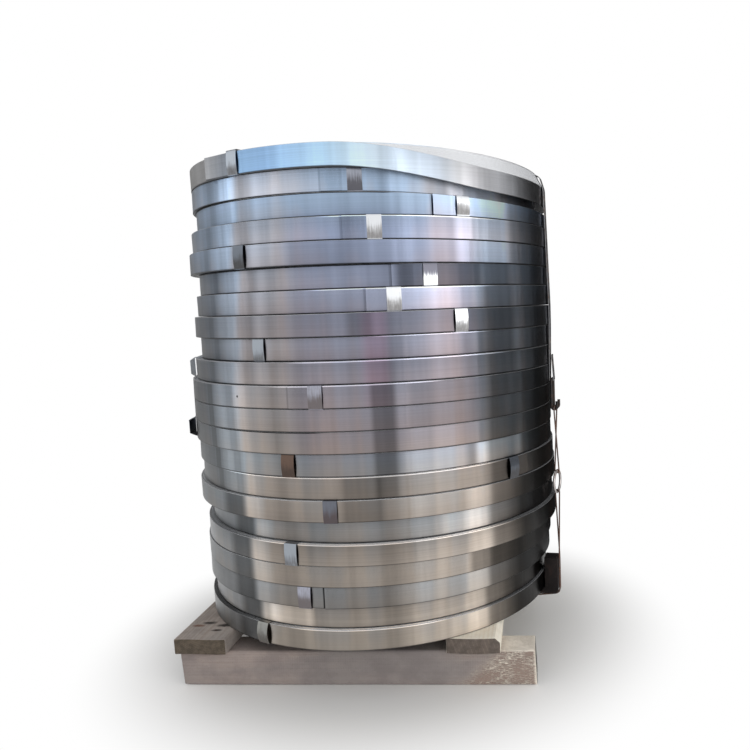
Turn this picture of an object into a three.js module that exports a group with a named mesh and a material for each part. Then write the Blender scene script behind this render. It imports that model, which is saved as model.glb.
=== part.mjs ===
// A stack of slit steel coils on a timber skid. Each coil is bound by a flat steel band that runs
// through its bore. A lashing ties the whole stack to the skid on its right-hand side: a flat strap
// comes over the top to a double hook, and from there a wire link, a ring and a doubled wire go
// down round a corner block and under the deck board.
// Millimetres, +Z up. The skid's beams lie along X and its deck boards along Y. An angle is read
// from the front (-Y) towards the right (+X), seen from above. The origin is under the middle of
// the object's box.
import * as THREE from "three";

// ---- Driving dimensions ----------------------------------------------------------------------
const fit = 0.3; // gap left between pieces that touch

const stripWidth = 50; // width of the slit strip, so the height of one coil
const stripThickness = 1.5; // one turn, seen as the step where the outer turn ends
const coilRadius = 476; // nominal outside radius
const boreRadius = 254; // 508 mm mandrel

const bandWidth = 32; // flat steel strapping
const bandThickness = 0.9;

const slippedTurns = 12; // build-up of the outer turns that have slipped down on the top coil
const slipDrop = 38; // how far they have slipped, at the lowest place
const slipCentre = 90; // degrees, the lowest place
const slipReach = 75; // degrees to each side of it, where the turns are level again
const turnLedges = [
  // the turns stand unevenly on the top coil: share of its wall out from the bore, lift
  { from: 0, lift: 1.2 },
  { from: 0.14, lift: 0 },
  { from: 0.36, lift: 2.1 },
  { from: 0.43, lift: 0.6 },
  { from: 0.7, lift: 1.5 },
];

const beamLength = 873;
const beamDepth = 85;
const beamHeight = 88;
const beamShift = -1; // the beams' middle, to the right of the stack's axis
const beamSpread = 780; // outside to outside of the two beams
const beamRound = 7; // worn arrises
const skidFront = 386; // from the stack's axis forward to the front beam's face

const boardThickness = 39;
const boardWidth = 129;
const boardLength = 820;
const boardOverhang = 20; // past the front beam's face
const boardEasing = 3;
const boardWane = 16; // bark edge left on the right-hand board
const leftBoardX = -378; // middle of each board
const rightBoardX = 286;

const lashingAngle = 81; // degrees, where the lashing comes down the stack
const strapWidth = 30;
const strapThickness = 1.6;
const strapBend = 6; // bend radius at the corners it goes over
const strapTail = 66; // its end, turned back up round the hook
const hookRod = 8; // double hook bent from one rod
const hookTop = 702; // height of the bar that the strap goes round
const hookDrop = 72; // from the bar down to the hooks' bends
const hookBend = 7; // bend radius of each hook
const hookTip = 14; // how far a tip comes back up
const linkSpread = 64; // width of the wire link where it hangs in the hooks
const ringRadius = 29.5; // to the middle of its rod
const ringRod = 7;
const ringHeight = 422;
const ringTurn = 9; // degrees, turned to the front from lying flat against the coils
const wireDiameter = 4;
const wireSpread = 12; // between the doubled wire's two strands
const wireBend = 14; // bend radius at the corners it goes round
const sealHeight = 44; // sleeve that joins strap and wire inside the bore
const sealWall = 1.2;
const padTop = 84; // corner block, from the deck up past the lowest coils
const padThickness = 37;
const padWidth = 46;
const padFoot = 18; // the part of the block under the lowest coil
const padReach = 88; // from the block's outer face to the foot's inner end

// One row for each coil, from the bottom up: radius over the nominal one, slip to the right and to
// the back, the angle where the outer turn ends, the angle of the band, and the band's bow, which
// is how far it stands off the coil's face half way up.
const layers = [
  { over: -4, right: -3, back: 4, tail: 120, band: -25.75, bow: 6 },
  { over: -10, right: -1, back: 9, tail: 150, band: -84, bow: 10 },
  { over: 0, right: 1, back: 4, tail: -5, band: -11, bow: 3 },
  { over: 1, right: 5, back: 0, tail: 200, band: -86, bow: 10 },
  { over: 7, right: 15, back: 0, tail: 165, band: -15.5, bow: 3 },
  { over: -3, right: 17, back: 5, tail: 130, band: -84, bow: 10 },
  { over: 12, right: 8, back: 1, tail: 230, band: -2.25, bow: 3 },
  { over: 6, right: 12, back: -1, tail: 115, band: 51.75, bow: 6 },
  { over: 7, right: 6, back: 1, tail: 170, band: -13.25, bow: 3 },
  { over: 9, right: 5, back: -2, tail: 250, band: -68, bow: 20 },
  { over: 8, right: 6, back: -8, tail: 185, band: 112, bow: 6 },
  { over: 8, right: 7, back: -11, tail: -11.5, band: -4, bow: 3 },
  { over: 3, right: 13, back: -8, tail: 140, band: -67, bow: 15 },
  { over: -5, right: 21, back: -4, tail: 210, band: -23.25, bow: 4 },
  { over: 3, right: 16, back: -3, tail: 125, band: 34.5, bow: 5 },
  { over: -3, right: 19, back: -2, tail: 8.75, band: 16, bow: 3 },
  { over: -9, right: 22, back: 0, tail: 15.25, band: 25.75, bow: 3 },
  { over: 1, right: 13, back: -1, tail: 190, band: -26.25, bow: 4 },
  { over: -3, right: 17, back: 1, tail: 3.75, band: 12, bow: 3 },
  { over: -12, right: 23, back: 2, tail: 27.25, band: 36.25, bow: 4 },
  { over: -23, right: 4, back: 0, tail: -0.25, band: 9, bow: 3 },
  { over: -9, right: 19, back: 1, tail: 160, band: -28.75, bow: 6 },
];

const outerSides = 56; // facets round a coil
const boreSides = 40;

// ---- Sizes that follow -----------------------------------------------------------------------
const degree = Math.PI / 180;
const deckTop = beamHeight + fit + boardThickness;
const layerPitch = stripWidth + bandThickness + 2 * fit;
const layerBase = (index) => deckTop + fit + index * layerPitch;
const coreRise = Math.max(...turnLedges.map((ledge) => ledge.lift));
const stackTop = layerBase(layers.length - 1) + stripWidth + coreRise;

// ---- Materials -------------------------------------------------------------------------------
const steel = new THREE.MeshStandardMaterial({ color: 0xa9a6a3, roughness: 0.32, metalness: 1 });
const bandSteel = new THREE.MeshStandardMaterial({ color: 0x8d8780, roughness: 0.4, metalness: 1 });
const timber = new THREE.MeshStandardMaterial({ color: 0xa08a76, roughness: 0.85, metalness: 0 });
const wireSteel = new THREE.MeshStandardMaterial({ color: 0x6f6a66, roughness: 0.5, metalness: 1 });
const rubber = new THREE.MeshStandardMaterial({ color: 0x1f1a1a, roughness: 0.8, metalness: 0 });

const model = new THREE.Group();

function place(name, geometry, material, x = 0, y = 0, z = 0) {
  const mesh = new THREE.Mesh(geometry, material);
  mesh.name = name;
  mesh.position.set(x, y, z);
  model.add(mesh);
  return mesh;
}

// Unit vector across the stack at an angle read from the front towards the right.
const outward = (angle) => new THREE.Vector2(Math.sin(angle * degree), -Math.cos(angle * degree));

// ---- Coils -----------------------------------------------------------------------------------
// The wound strip is a spiral, so the outline loses one thickness in a full turn and steps back
// out where the outer turn ends.
function coilGeometry(radius, tailAngle) {
  const outline = new THREE.Shape();
  for (let i = 0; i <= outerSides; i++) {
    const share = i / outerSides;
    const point = outward(tailAngle + 360 * share - (i === outerSides ? 0.01 : 0));
    point.multiplyScalar(radius - stripThickness * share);
    if (i === 0) outline.moveTo(point.x, point.y);
    else outline.lineTo(point.x, point.y);
  }
  outline.closePath();
  const bore = new THREE.Path();
  const corner = boreRadius / Math.cos(Math.PI / boreSides); // flats touch the true bore
  for (let i = 0; i < boreSides; i++) {
    const point = outward((-360 * i) / boreSides).multiplyScalar(corner);
    if (i === 0) bore.moveTo(point.x, point.y);
    else bore.lineTo(point.x, point.y);
  }
  bore.closePath();
  outline.holes.push(bore);
  return new THREE.ExtrudeGeometry(outline, { depth: stripWidth, bevelEnabled: false, steps: 1 });
}

// The top coil has telescoped: its turns stand at uneven heights, and the outer ones have slipped
// down past the coil below on one side.
function topCoilGeometry(radius) {
  const bore = boreRadius / Math.cos(Math.PI / outerSides);
  const core = radius - slippedTurns;
  const wall = core - bore;
  const profile = [
    new THREE.Vector2(bore, 0),
    new THREE.Vector2(core, 0),
    new THREE.Vector2(core + fit, -fit), // from here to the next core point, the slipped turns
    new THREE.Vector2(radius, -fit),
    new THREE.Vector2(radius, stripWidth - fit),
    new THREE.Vector2(core + fit, stripWidth - fit),
  ];
  turnLedges.toReversed().forEach((ledge, i, ledges) => {
    const outer = i === 0 ? core : bore + wall * ledges[i - 1].from;
    profile.push(new THREE.Vector2(outer, stripWidth + ledge.lift));
    profile.push(new THREE.Vector2(bore + wall * ledge.from, stripWidth + ledge.lift));
  });
  profile.push(profile[0].clone());
  const geometry = new THREE.LatheGeometry(profile, outerSides).rotateX(Math.PI / 2);
  const position = geometry.getAttribute("position");
  for (let i = 0; i < position.count; i++) {
    const x = position.getX(i);
    const y = position.getY(i);
    if (Math.hypot(x, y) < core + fit / 2) continue;
    const away = Math.abs(Math.atan2(x, -y) / degree - slipCentre);
    const drop = away < slipReach ? slipDrop * Math.cos((90 * away * degree) / slipReach) : 0;
    position.setZ(i, position.getZ(i) - drop);
  }
  return geometry;
}

// ---- Bands -----------------------------------------------------------------------------------
// A closed loop of flat strapping round the coil's wall: up the bore, over the top, down the face
// and back under. It is pulled tight at the edges and stands off the face between them.
function bandOutline(path, radius, rise, bow, grow) {
  const sag = bandWidth ** 2 / (8 * boreRadius); // the flat band in the round bore
  const inner = boreRadius - sag - fit - grow;
  const outer = radius + fit + grow;
  const low = -fit - grow;
  const high = stripWidth + rise + fit + grow;
  path.moveTo(inner, low);
  path.lineTo(outer, low);
  path.quadraticCurveTo(outer + 2 * bow, (low + high) / 2, outer, high);
  path.lineTo(inner, high);
  path.closePath();
  return path;
}

function bandGeometry(radius, angle, bow, rise) {
  const section = bandOutline(new THREE.Shape(), radius, rise, bow, bandThickness);
  section.holes.push(bandOutline(new THREE.Path(), radius, rise, bow, 0));
  return new THREE.ExtrudeGeometry(section, {
    depth: bandWidth,
    bevelEnabled: false,
    curveSegments: 6,
  })
    .translate(0, 0, -bandWidth / 2)
    .rotateX(Math.PI / 2)
    .rotateZ((angle - 90) * degree);
}

layers.forEach((layer, index) => {
  const number = String(index + 1).padStart(2, "0");
  const top = index === layers.length - 1;
  const radius = coilRadius + layer.over;
  const coil = top ? topCoilGeometry(radius) : coilGeometry(radius, layer.tail);
  const at = [layer.right, layer.back, layerBase(index)];
  const band = bandGeometry(radius, layer.band, layer.bow, top ? coreRise : 0);
  place("coil_" + number, coil, steel, ...at);
  place("band_" + number, band, bandSteel, ...at);
});

// ---- Skid ------------------------------------------------------------------------------------
function easedRectangle(width, height, easing, wane = easing) {
  const outline = new THREE.Shape();
  outline.moveTo(easing, 0);
  outline.lineTo(width - easing, 0);
  outline.quadraticCurveTo(width, 0, width, easing);
  outline.lineTo(width, height - wane);
  outline.quadraticCurveTo(width - wane / 3, height - wane / 3, width - wane, height);
  outline.lineTo(easing, height);
  outline.quadraticCurveTo(0, height, 0, height - easing);
  outline.lineTo(0, easing);
  outline.quadraticCurveTo(0, 0, easing, 0);
  return outline;
}

const timberCut = { bevelEnabled: false, curveSegments: 3 };

// Beams: section in the Y-Z plane, run along X.
function beamGeometry() {
  const section = easedRectangle(beamDepth, beamHeight, beamRound);
  return new THREE.ExtrudeGeometry(section, { depth: beamLength, ...timberCut })
    .rotateX(Math.PI / 2)
    .rotateZ(Math.PI / 2);
}

// Deck boards: section in the X-Z plane, run along Y.
function boardGeometry(wane) {
  const section = easedRectangle(boardWidth, boardThickness, boardEasing, wane);
  return new THREE.ExtrudeGeometry(section, { depth: boardLength, ...timberCut })
    .rotateX(Math.PI / 2)
    .translate(-boardWidth / 2, boardLength, 0);
}

const beamLeft = beamShift - beamLength / 2;
const rearBeamY = -skidFront + beamSpread - beamDepth;
place("front_beam", beamGeometry(), timber, beamLeft, -skidFront, 0);
place("rear_beam", beamGeometry(), timber, beamLeft, rearBeamY, 0);

const boardBase = beamHeight + fit;
const boardFront = -skidFront - boardOverhang;
place("left_board", boardGeometry(boardEasing), timber, leftBoardX, boardFront, boardBase);
place("right_board", boardGeometry(boardWane), timber, rightBoardX, boardFront, boardBase);

// ---- Lashing ---------------------------------------------------------------------------------
// It is laid out by distance out from the stack's axis, distance along the coils' faces and height.
const lashingLine = outward(lashingAngle);
const lashingTurn = (lashingAngle - 90) * degree;
const at = (across, along, height) =>
  new THREE.Vector3(
    across * lashingLine.x - along * lashingLine.y,
    across * lashingLine.y + along * lashingLine.x,
    height,
  );

// Where each coil's face and bore come on that line.
const coilFaces = layers.map((layer, index) => {
  const slip = new THREE.Vector2(layer.right, layer.back).dot(lashingLine);
  const face = slip + coilRadius + layer.over;
  const base = layerBase(index);
  return { bore: slip + boreRadius, face, base, top: base + stripWidth };
});
const topCoil = coilFaces[coilFaces.length - 1];
topCoil.top -= slipDrop;
const narrowestBore = Math.min(...coilFaces.map((coil) => coil.bore));
const strapHalf = strapThickness / 2;
const wireHalf = wireDiameter / 2;
const hookHalf = hookRod / 2;
const sealOuter = narrowestBore - fit;
const strapInBore = sealOuter - sealWall - fit - strapHalf;
const wireInBore = strapInBore - strapHalf - fit - wireHalf;
const sealMiddle = stackTop / 2;

// A path through given points, sampled at those points, so that bends keep their own spacing.
class Route extends THREE.Curve {
  constructor(points) {
    super();
    this.points = points;
  }
  getPoint(t, target = new THREE.Vector3()) {
    const last = this.points.length - 1;
    const whole = Math.min(Math.floor(t * last + 1e-9), last - 1);
    return target.lerpVectors(this.points[whole], this.points[whole + 1], t * last - whole);
  }
  getPointAt(u, target) {
    return this.getPoint(u, target);
  }
  getTangentAt(u, target = new THREE.Vector3()) {
    const last = this.points.length - 1;
    const here = Math.round(u * last);
    const closed = this.points[0].distanceTo(this.points[last]) < fit / 2;
    const ahead = here < last ? here + 1 : closed ? 1 : last;
    const behind = here > 0 ? here - 1 : closed ? last - 1 : 0;
    return target.subVectors(this.points[ahead], this.points[behind]).normalize();
  }
}

// Corner points turned into short rounded bends.
function rounded(corners, bend, steps = 4) {
  const points = [corners[0]];
  for (let i = 1; i < corners.length - 1; i++) {
    const into = new THREE.Vector3().subVectors(corners[i - 1], corners[i]).normalize();
    const out = new THREE.Vector3().subVectors(corners[i + 1], corners[i]).normalize();
    const start = corners[i].clone().addScaledVector(into, bend);
    const end = corners[i].clone().addScaledVector(out, bend);
    points.push(...new THREE.QuadraticBezierCurve3(start, corners[i], end).getPoints(steps));
  }
  points.push(corners[corners.length - 1]);
  return points;
}

function rodGeometry(points, diameter) {
  const section = new THREE.Shape();
  section.absarc(0, 0, diameter / 2, 0, 2 * Math.PI);
  return new THREE.ExtrudeGeometry(section, {
    extrudePath: new Route(points),
    steps: points.length - 1,
    curveSegments: 4,
  });
}

// The line that a taut strap takes over the coils that stand out, from the top down.
function tautLine(points) {
  const line = [];
  for (const point of points) {
    while (line.length > 1) {
      const before = line[line.length - 2];
      const last = line[line.length - 1];
      const share = (before.y - last.y) / (before.y - point.y);
      if (last.x > before.x + share * (point.x - before.x)) break;
      line.pop();
    }
    line.push(point);
  }
  return line;
}

// Strap: up inside the bore, over the top coil, down the outside, round the hook's bar and a
// little way back up. Its section is a line given a thickness, and it is as wide as the strap.
function strapGeometry(barAcross) {
  const clear = fit + strapHalf;
  const aboveHook = coilFaces.filter((coil) => coil.base > hookTop);
  const touched = aboveHook
    .toReversed()
    .flatMap((coil) => [
      new THREE.Vector3(coil.face + clear, coil.top, 0),
      new THREE.Vector3(coil.face + clear, coil.base, 0),
    ]);
  const wrap = hookHalf + fit + strapHalf;
  const down = tautLine([...touched, new THREE.Vector3(barAcross - wrap, hookTop, 0)]);
  const round = [];
  for (let i = 1; i <= 6; i++) {
    const turn = (i * Math.PI) / 6;
    const across = barAcross - wrap * Math.cos(turn);
    round.push(new THREE.Vector3(across, hookTop - wrap * Math.sin(turn), 0));
  }
  const over = stackTop + clear;
  const edge = topCoil.face - slippedTurns + clear + strapBend / 2;
  const overTop = rounded(
    [
      new THREE.Vector3(strapInBore, sealMiddle - sealHeight, 0),
      new THREE.Vector3(strapInBore, over, 0),
      new THREE.Vector3(edge, over, 0),
      new THREE.Vector3(down[0].x + clear, topCoil.top + clear, 0),
      down[1],
    ],
    strapBend,
  );
  const end = new THREE.Vector3(barAcross + wrap - hookHalf, hookTop + strapTail, 0);
  const middle = [...overTop.slice(0, -1), ...down.slice(1), ...round, end];
  const sides = [-1, 1].map((side) =>
    middle.map((point, i) => {
      const ahead = middle[Math.min(i + 1, middle.length - 1)];
      const behind = middle[Math.max(i - 1, 0)];
      const run = new THREE.Vector3().subVectors(ahead, behind).normalize();
      return new THREE.Vector2(
        point.x - side * strapHalf * run.y,
        point.y + side * strapHalf * run.x,
      );
    }),
  );
  const section = new THREE.Shape([...sides[0], ...sides[1].reverse()]);
  return new THREE.ExtrudeGeometry(section, { depth: strapWidth, bevelEnabled: false })
    .translate(0, 0, -strapWidth / 2)
    .rotateX(Math.PI / 2)
    .rotateZ(lashingTurn);
}

// Hook: one rod, up from one tip, across the bar in the strap's end and down to the other tip.
function hookGeometry(barAcross) {
  const leg = strapWidth / 2 + fit + hookHalf;
  const side = (along) => {
    const points = [at(barAcross + 2 * hookBend, along, hookTop - hookDrop + hookTip)];
    for (let i = 0; i <= 6; i++) {
      const turn = (i * Math.PI) / 6;
      const across = barAcross + hookBend * (1 + Math.cos(turn));
      points.push(at(across, along, hookTop - hookDrop - hookBend * Math.sin(turn)));
    }
    return points;
  };
  const bar = rounded(
    [
      at(barAcross, -leg, hookTop - 20),
      at(barAcross, -leg, hookTop),
      at(barAcross, leg, hookTop),
      at(barAcross, leg, hookTop - 20),
    ],
    hookHalf,
  );
  return rodGeometry([...side(-leg), ...bar.slice(1, -1), ...side(leg).reverse()], hookRod);
}

// Half a turn of wire round the ring's rod, from the side that faces out to the side that faces in.
function turnRound(across, height, up) {
  const reach = ringRod / 2 + fit + wireHalf;
  const points = [];
  for (let i = 0; i <= 6; i++) {
    const turn = (i * Math.PI) / 6;
    const out = reach * Math.cos(turn);
    const along = -out * Math.sin(ringTurn * degree);
    const away = across + out * Math.cos(ringTurn * degree);
    points.push(at(away, along, height + up * reach * Math.sin(turn)));
  }
  return points;
}

function lashing() {
  const belowHook = coilFaces.filter((coil) => coil.top < hookTop);
  const widest = Math.max(...belowHook.map((coil) => coil.face));
  const nearHook = coilFaces.filter((coil) => coil.top > hookTop - hookDrop && coil.base < hookTop);
  const hookFace = Math.max(...nearHook.map((coil) => coil.face));
  const barAcross = hookFace + 2 * fit + strapThickness + hookHalf;
  place("lashing_strap", strapGeometry(barAcross), wireSteel);
  place("lashing_hook", hookGeometry(barAcross), wireSteel);

  const ringOut = ringRadius * Math.sin(ringTurn * degree) + ringRod / 2;
  const ringAcross = widest + fit + ringOut;
  const cradle = hookTop - hookDrop - hookBend + hookHalf + fit + wireHalf;
  const linkEnd = turnRound(ringAcross, ringHeight + ringRadius, -1);
  const linkTop = rounded(
    [
      linkEnd[linkEnd.length - 1],
      at(barAcross + hookBend, linkSpread / 2, cradle),
      at(barAcross + hookBend, -linkSpread / 2, cradle),
      linkEnd[0],
    ],
    hookBend,
  );
  const linkPoints = [...linkEnd, ...linkTop.slice(1)];
  place(
    "lashing_link",
    new THREE.TubeGeometry(new Route(linkPoints), linkPoints.length - 1, wireHalf, 8, true),
    wireSteel,
  );

  const ring = new THREE.TorusGeometry(ringRadius, ringRod / 2, 8, 24)
    .rotateX(Math.PI / 2)
    .rotateZ((lashingAngle - ringTurn) * degree);
  const ringAt = at(ringAcross, 0, ringHeight);
  place("lashing_ring", ring, wireSteel, ringAt.x, ringAt.y, ringAt.z);

  // Corner block: an L, outside the lowest coils and under them.
  const lowFace = Math.max(...coilFaces.slice(0, 2).map((coil) => coil.face)) + fit;
  const padFace = lowFace + padThickness;
  const block = new THREE.Shape();
  block.moveTo(padFace - padReach, -padFoot);
  block.lineTo(padFace - wireBend, -padFoot);
  block.quadraticCurveTo(padFace, -padFoot, padFace, wireBend - padFoot);
  block.lineTo(padFace, padTop - 4);
  block.lineTo(padFace - 4, padTop);
  block.lineTo(lowFace, padTop);
  block.lineTo(lowFace, 0);
  block.lineTo(padFace - padReach, 0);
  block.closePath();
  const pad = new THREE.ExtrudeGeometry(block, { depth: padWidth, ...timberCut })
    .translate(0, 0, -padWidth / 2)
    .rotateX(Math.PI / 2)
    .rotateZ(lashingTurn);
  place("lashing_pad", pad, rubber, 0, 0, deckTop);

  // Wire: up from inside the bore, under the board, round the block, through the ring and back.
  const off = wireHalf + fit;
  const bendOff = off + wireBend / 2; // a rounded bend cuts its corner
  const boardInside = (rightBoardX - boardWidth / 2) / lashingLine.x - bendOff;
  const boardOutside = (rightBoardX + boardWidth / 2) / lashingLine.x + bendOff;
  const inBore = Math.min(wireInBore, boardInside);
  const under = boardBase - off;
  const strand = (along) => [
    at(wireInBore, along, sealMiddle + sealHeight),
    at(wireInBore, along, sealMiddle - sealHeight),
    at(inBore, along, 2 * deckTop),
    at(inBore, along, under),
    at(boardOutside, along, under),
    at(padFace + off, along, deckTop - padFoot - off),
    at(padFace + off, along, deckTop + padTop),
  ];
  const ringLoop = turnRound(ringAcross, ringHeight - ringRadius, 1);
  const near = rounded([...strand(-wireSpread / 2), ringLoop[0]], wireBend);
  const far = rounded([...strand(wireSpread / 2), ringLoop[ringLoop.length - 1]], wireBend);
  const wirePoints = [...near.slice(0, -1), ...ringLoop, ...far.reverse().slice(1)];
  place("lashing_wire", rodGeometry(wirePoints, wireDiameter), wireSteel);

  const sleeve = new THREE.Shape();
  const sealInner = wireInBore - wireHalf - fit - sealWall;
  const sealSide = strapWidth / 2 + fit + sealWall;
  sleeve.moveTo(sealInner, -sealSide);
  sleeve.lineTo(sealOuter, -sealSide);
  sleeve.lineTo(sealOuter, sealSide);
  sleeve.lineTo(sealInner, sealSide);
  sleeve.closePath();
  const passage = new THREE.Path();
  passage.moveTo(sealInner + sealWall, sealWall - sealSide);
  passage.lineTo(sealInner + sealWall, sealSide - sealWall);
  passage.lineTo(sealOuter - sealWall, sealSide - sealWall);
  passage.lineTo(sealOuter - sealWall, sealWall - sealSide);
  passage.closePath();
  sleeve.holes.push(passage);
  const seal = new THREE.ExtrudeGeometry(sleeve, { depth: sealHeight, bevelEnabled: false })
    .translate(0, 0, sealMiddle - sealHeight / 2)
    .rotateZ(lashingTurn);
  place("lashing_seal", seal, bandSteel);
}
lashing();

// ---- Origin under the middle of the box ------------------------------------------------------
model.updateMatrixWorld(true);
const box = new THREE.Box3().setFromObject(model, true);
model.position.set(-(box.min.x + box.max.x) / 2, -(box.min.y + box.max.y) / 2, -box.min.z);

export default model;
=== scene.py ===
import math
import bmesh
import bpy
import numpy as np
from mathutils import Matrix, Vector, noise


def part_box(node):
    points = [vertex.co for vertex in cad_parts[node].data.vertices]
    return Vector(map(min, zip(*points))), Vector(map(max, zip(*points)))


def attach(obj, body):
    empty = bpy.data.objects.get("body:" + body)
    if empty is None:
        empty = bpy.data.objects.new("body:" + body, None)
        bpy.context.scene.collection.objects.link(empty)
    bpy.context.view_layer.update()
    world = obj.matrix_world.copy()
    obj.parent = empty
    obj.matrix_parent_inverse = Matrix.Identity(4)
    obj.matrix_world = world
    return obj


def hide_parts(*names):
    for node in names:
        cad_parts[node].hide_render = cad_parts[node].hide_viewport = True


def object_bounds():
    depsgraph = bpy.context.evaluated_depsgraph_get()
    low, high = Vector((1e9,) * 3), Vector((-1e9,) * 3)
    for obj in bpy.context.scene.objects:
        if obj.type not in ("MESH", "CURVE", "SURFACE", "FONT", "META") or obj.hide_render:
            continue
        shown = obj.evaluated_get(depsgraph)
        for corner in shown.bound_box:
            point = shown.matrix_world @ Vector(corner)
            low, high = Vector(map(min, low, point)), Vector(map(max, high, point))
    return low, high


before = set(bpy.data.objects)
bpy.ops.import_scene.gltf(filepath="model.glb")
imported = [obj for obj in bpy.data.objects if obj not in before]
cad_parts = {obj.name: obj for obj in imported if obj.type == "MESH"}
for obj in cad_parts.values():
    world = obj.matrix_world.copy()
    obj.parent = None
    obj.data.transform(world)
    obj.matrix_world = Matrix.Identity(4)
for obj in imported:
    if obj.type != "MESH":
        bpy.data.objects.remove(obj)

cad_box = [list(corner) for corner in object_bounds()]

# ---- Beams -----------------------------------------------------------------------------------
# Two rough-sawn softwood beams lie on the ground and carry the deck boards. The front one has a
# worn lower corner at its left end, and torn, bleached fibres towards its right end, where its
# fibres, top and end are painted sunlit.
mm = 0.001
beam_arris = 6 * mm
end_arris = 2.5 * mm
saw_depth = 0.7 * mm
end_slant = 5 * mm  # the ends aren't cut square
end_reach = 60 * mm  # the length at each end that isn't straight
worn_corner = 16 * mm
beam_net = 6 * mm  # how fine a net of edges the timber is cut into
one_mm_rings = 314  # the wave pattern's scale at which its rings are a millimetre apart


def alone(piece):
    bpy.ops.object.select_all(action="DESELECT")
    piece.select_set(True)
    bpy.context.view_layer.objects.active = piece


def pick_edges(piece, test):
    bpy.ops.mesh.select_mode(type="EDGE")
    bpy.ops.mesh.select_all(action="DESELECT")
    shell = bmesh.from_edit_mesh(piece.data)
    for edge in shell.edges:
        edge.select_set(bool(test(edge.verts[0].co, edge.verts[1].co)))
    bmesh.update_edit_mesh(piece.data)


def saw_timber(name, node, run, arris, pitch):
    """A squared timber with eased edges, cut into a fine net that can take wear."""
    low, high = (Vector(corner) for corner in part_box(node))
    size = high - low
    bpy.ops.object.select_all(action="DESELECT")
    bpy.ops.mesh.primitive_cube_add(size=1, location=(low + high) / 2, scale=size)
    timber = bpy.context.active_object
    timber.name = name
    bpy.ops.object.transform_apply(location=True, rotation=False, scale=True)
    bpy.ops.object.mode_set(mode="EDIT")
    pick_edges(timber, lambda a, b: abs(a[run] - b[run]) > 0.1)
    bpy.ops.mesh.bevel(offset=arris, segments=3, affect="EDGES")
    pick_edges(timber, lambda a, b: abs(a[run] - b[run]) < 1e-6)
    bpy.ops.mesh.bevel(offset=end_arris, segments=2, affect="EDGES")
    pick_edges(timber, lambda a, b: abs(a[run] - b[run]) > 0.1)
    bpy.ops.mesh.subdivide(number_cuts=int(size[run] / pitch))
    for axis in {0, 1, 2} - {run}:
        pick_edges(timber, lambda a, b: abs(a[axis] - b[axis]) > 0.6 * size[axis])
        bpy.ops.mesh.subdivide(number_cuts=int(size[axis] / pitch))
    bpy.ops.object.mode_set(mode="OBJECT")
    return timber


def roughen(timber, run, depth):
    """Saw marks and raised grain, cut into the timber and never out of it."""
    for corner in timber.data.vertices:
        place = corner.co.copy()
        grain = place * 90
        grain[run] = place[run] * 9
        marks = noise.noise(grain) + 0.5 * noise.noise(place * 25)
        corner.co -= corner.normal * depth * (0.5 + 0.33 * marks)
    timber.data.update()


def smooth(piece, degrees=35):
    alone(piece)
    bpy.ops.object.shade_smooth_by_angle(angle=math.radians(degrees))


def feed(node, feeds):
    """Feeds a shader node's inputs with sockets or plain values."""
    for name, value in feeds.items():
        if isinstance(value, bpy.types.NodeSocket):
            node.id_data.links.new(value, node.inputs[name])
        else:
            node.inputs[name].default_value = value


def add_node(tree, kind, feeds, **settings):
    """A shader node with its settings; gives its outputs."""
    made = tree.nodes.new("ShaderNode" + kind)
    for name, value in settings.items():
        setattr(made, name, value)
    feed(made, feeds)
    return made.outputs


def tree_of(*values):
    """The node tree that the sockets among some values belong to."""
    return next(value.id_data for value in values if isinstance(value, bpy.types.NodeSocket))


def sum_up(operation, *terms):
    return add_node(tree_of(*terms), "Math", dict(enumerate(terms)), operation=operation)[0]


def plus(first, second):
    return sum_up("ADD", first, second)


def minus(first, second):
    return sum_up("SUBTRACT", first, second)


def times(first, second):
    return sum_up("MULTIPLY", first, second)


def times_plus(first, second, added):
    return sum_up("MULTIPLY_ADD", first, second, added)


def between(value, low, high, to_low=0.0, to_high=1.0):
    """A value's place between two limits, eased at both."""
    feeds = {"Value": value, 1: low, 2: high, 3: to_low, 4: to_high}
    return add_node(tree_of(value), "MapRange", feeds, interpolation_type="SMOOTHSTEP")[0]


def window(value, start, full, fading, gone):
    """One within a stretch of the value and nothing outside it, eased at both ends."""
    return times(between(value, start, full), between(value, fading, gone, 1.0, 0.0))


def blend(share, first, second, kind="MIX"):
    feeds = {0: share, 6: first, 7: second}
    tree = tree_of(share, first, second)
    return add_node(tree, "Mix", feeds, data_type="RGBA", blend_type=kind)[2]


def speckle(at, scale, detail=2.0, roughness=0.5):
    feeds = {"Vector": at, "Scale": scale, "Detail": detail, "Roughness": roughness}
    return add_node(tree_of(at), "TexNoise", feeds)["Fac"]


def stretched(at, scale, location=(0, 0, 0)):
    feeds = {"Vector": at, "Scale": scale, "Location": location}
    return add_node(tree_of(at), "Mapping", feeds)[0]


def split(vector):
    return add_node(tree_of(vector), "SeparateXYZ", {0: vector})


def tones(value, stops):
    """A colour from a value, by a list of places and colours."""
    ramp = tree_of(value).nodes.new("ShaderNodeValToRGB")
    feed(ramp, {0: value})
    strip = ramp.color_ramp.elements
    while len(strip) < len(stops):
        strip.new(0.5)
    for element, (place, colour) in zip(strip, stops):
        element.position = place
        element.color = (*colour, 1)
    return ramp.outputs[0]


def bumped(height, strength, depth):
    feeds = {"Height": height, "Strength": strength, "Distance": depth}
    return add_node(tree_of(height), "Bump", feeds)[0]


def new_finish(name):
    """A new material, with its node tree, its shader, and the place and facing of its points."""
    finish = bpy.data.materials.new(name)
    finish.use_nodes = True
    tree = finish.node_tree
    spot = add_node(tree, "TexCoord", {})
    return finish, tree.nodes["Principled BSDF"], spot["Object"], spot["Normal"]


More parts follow.
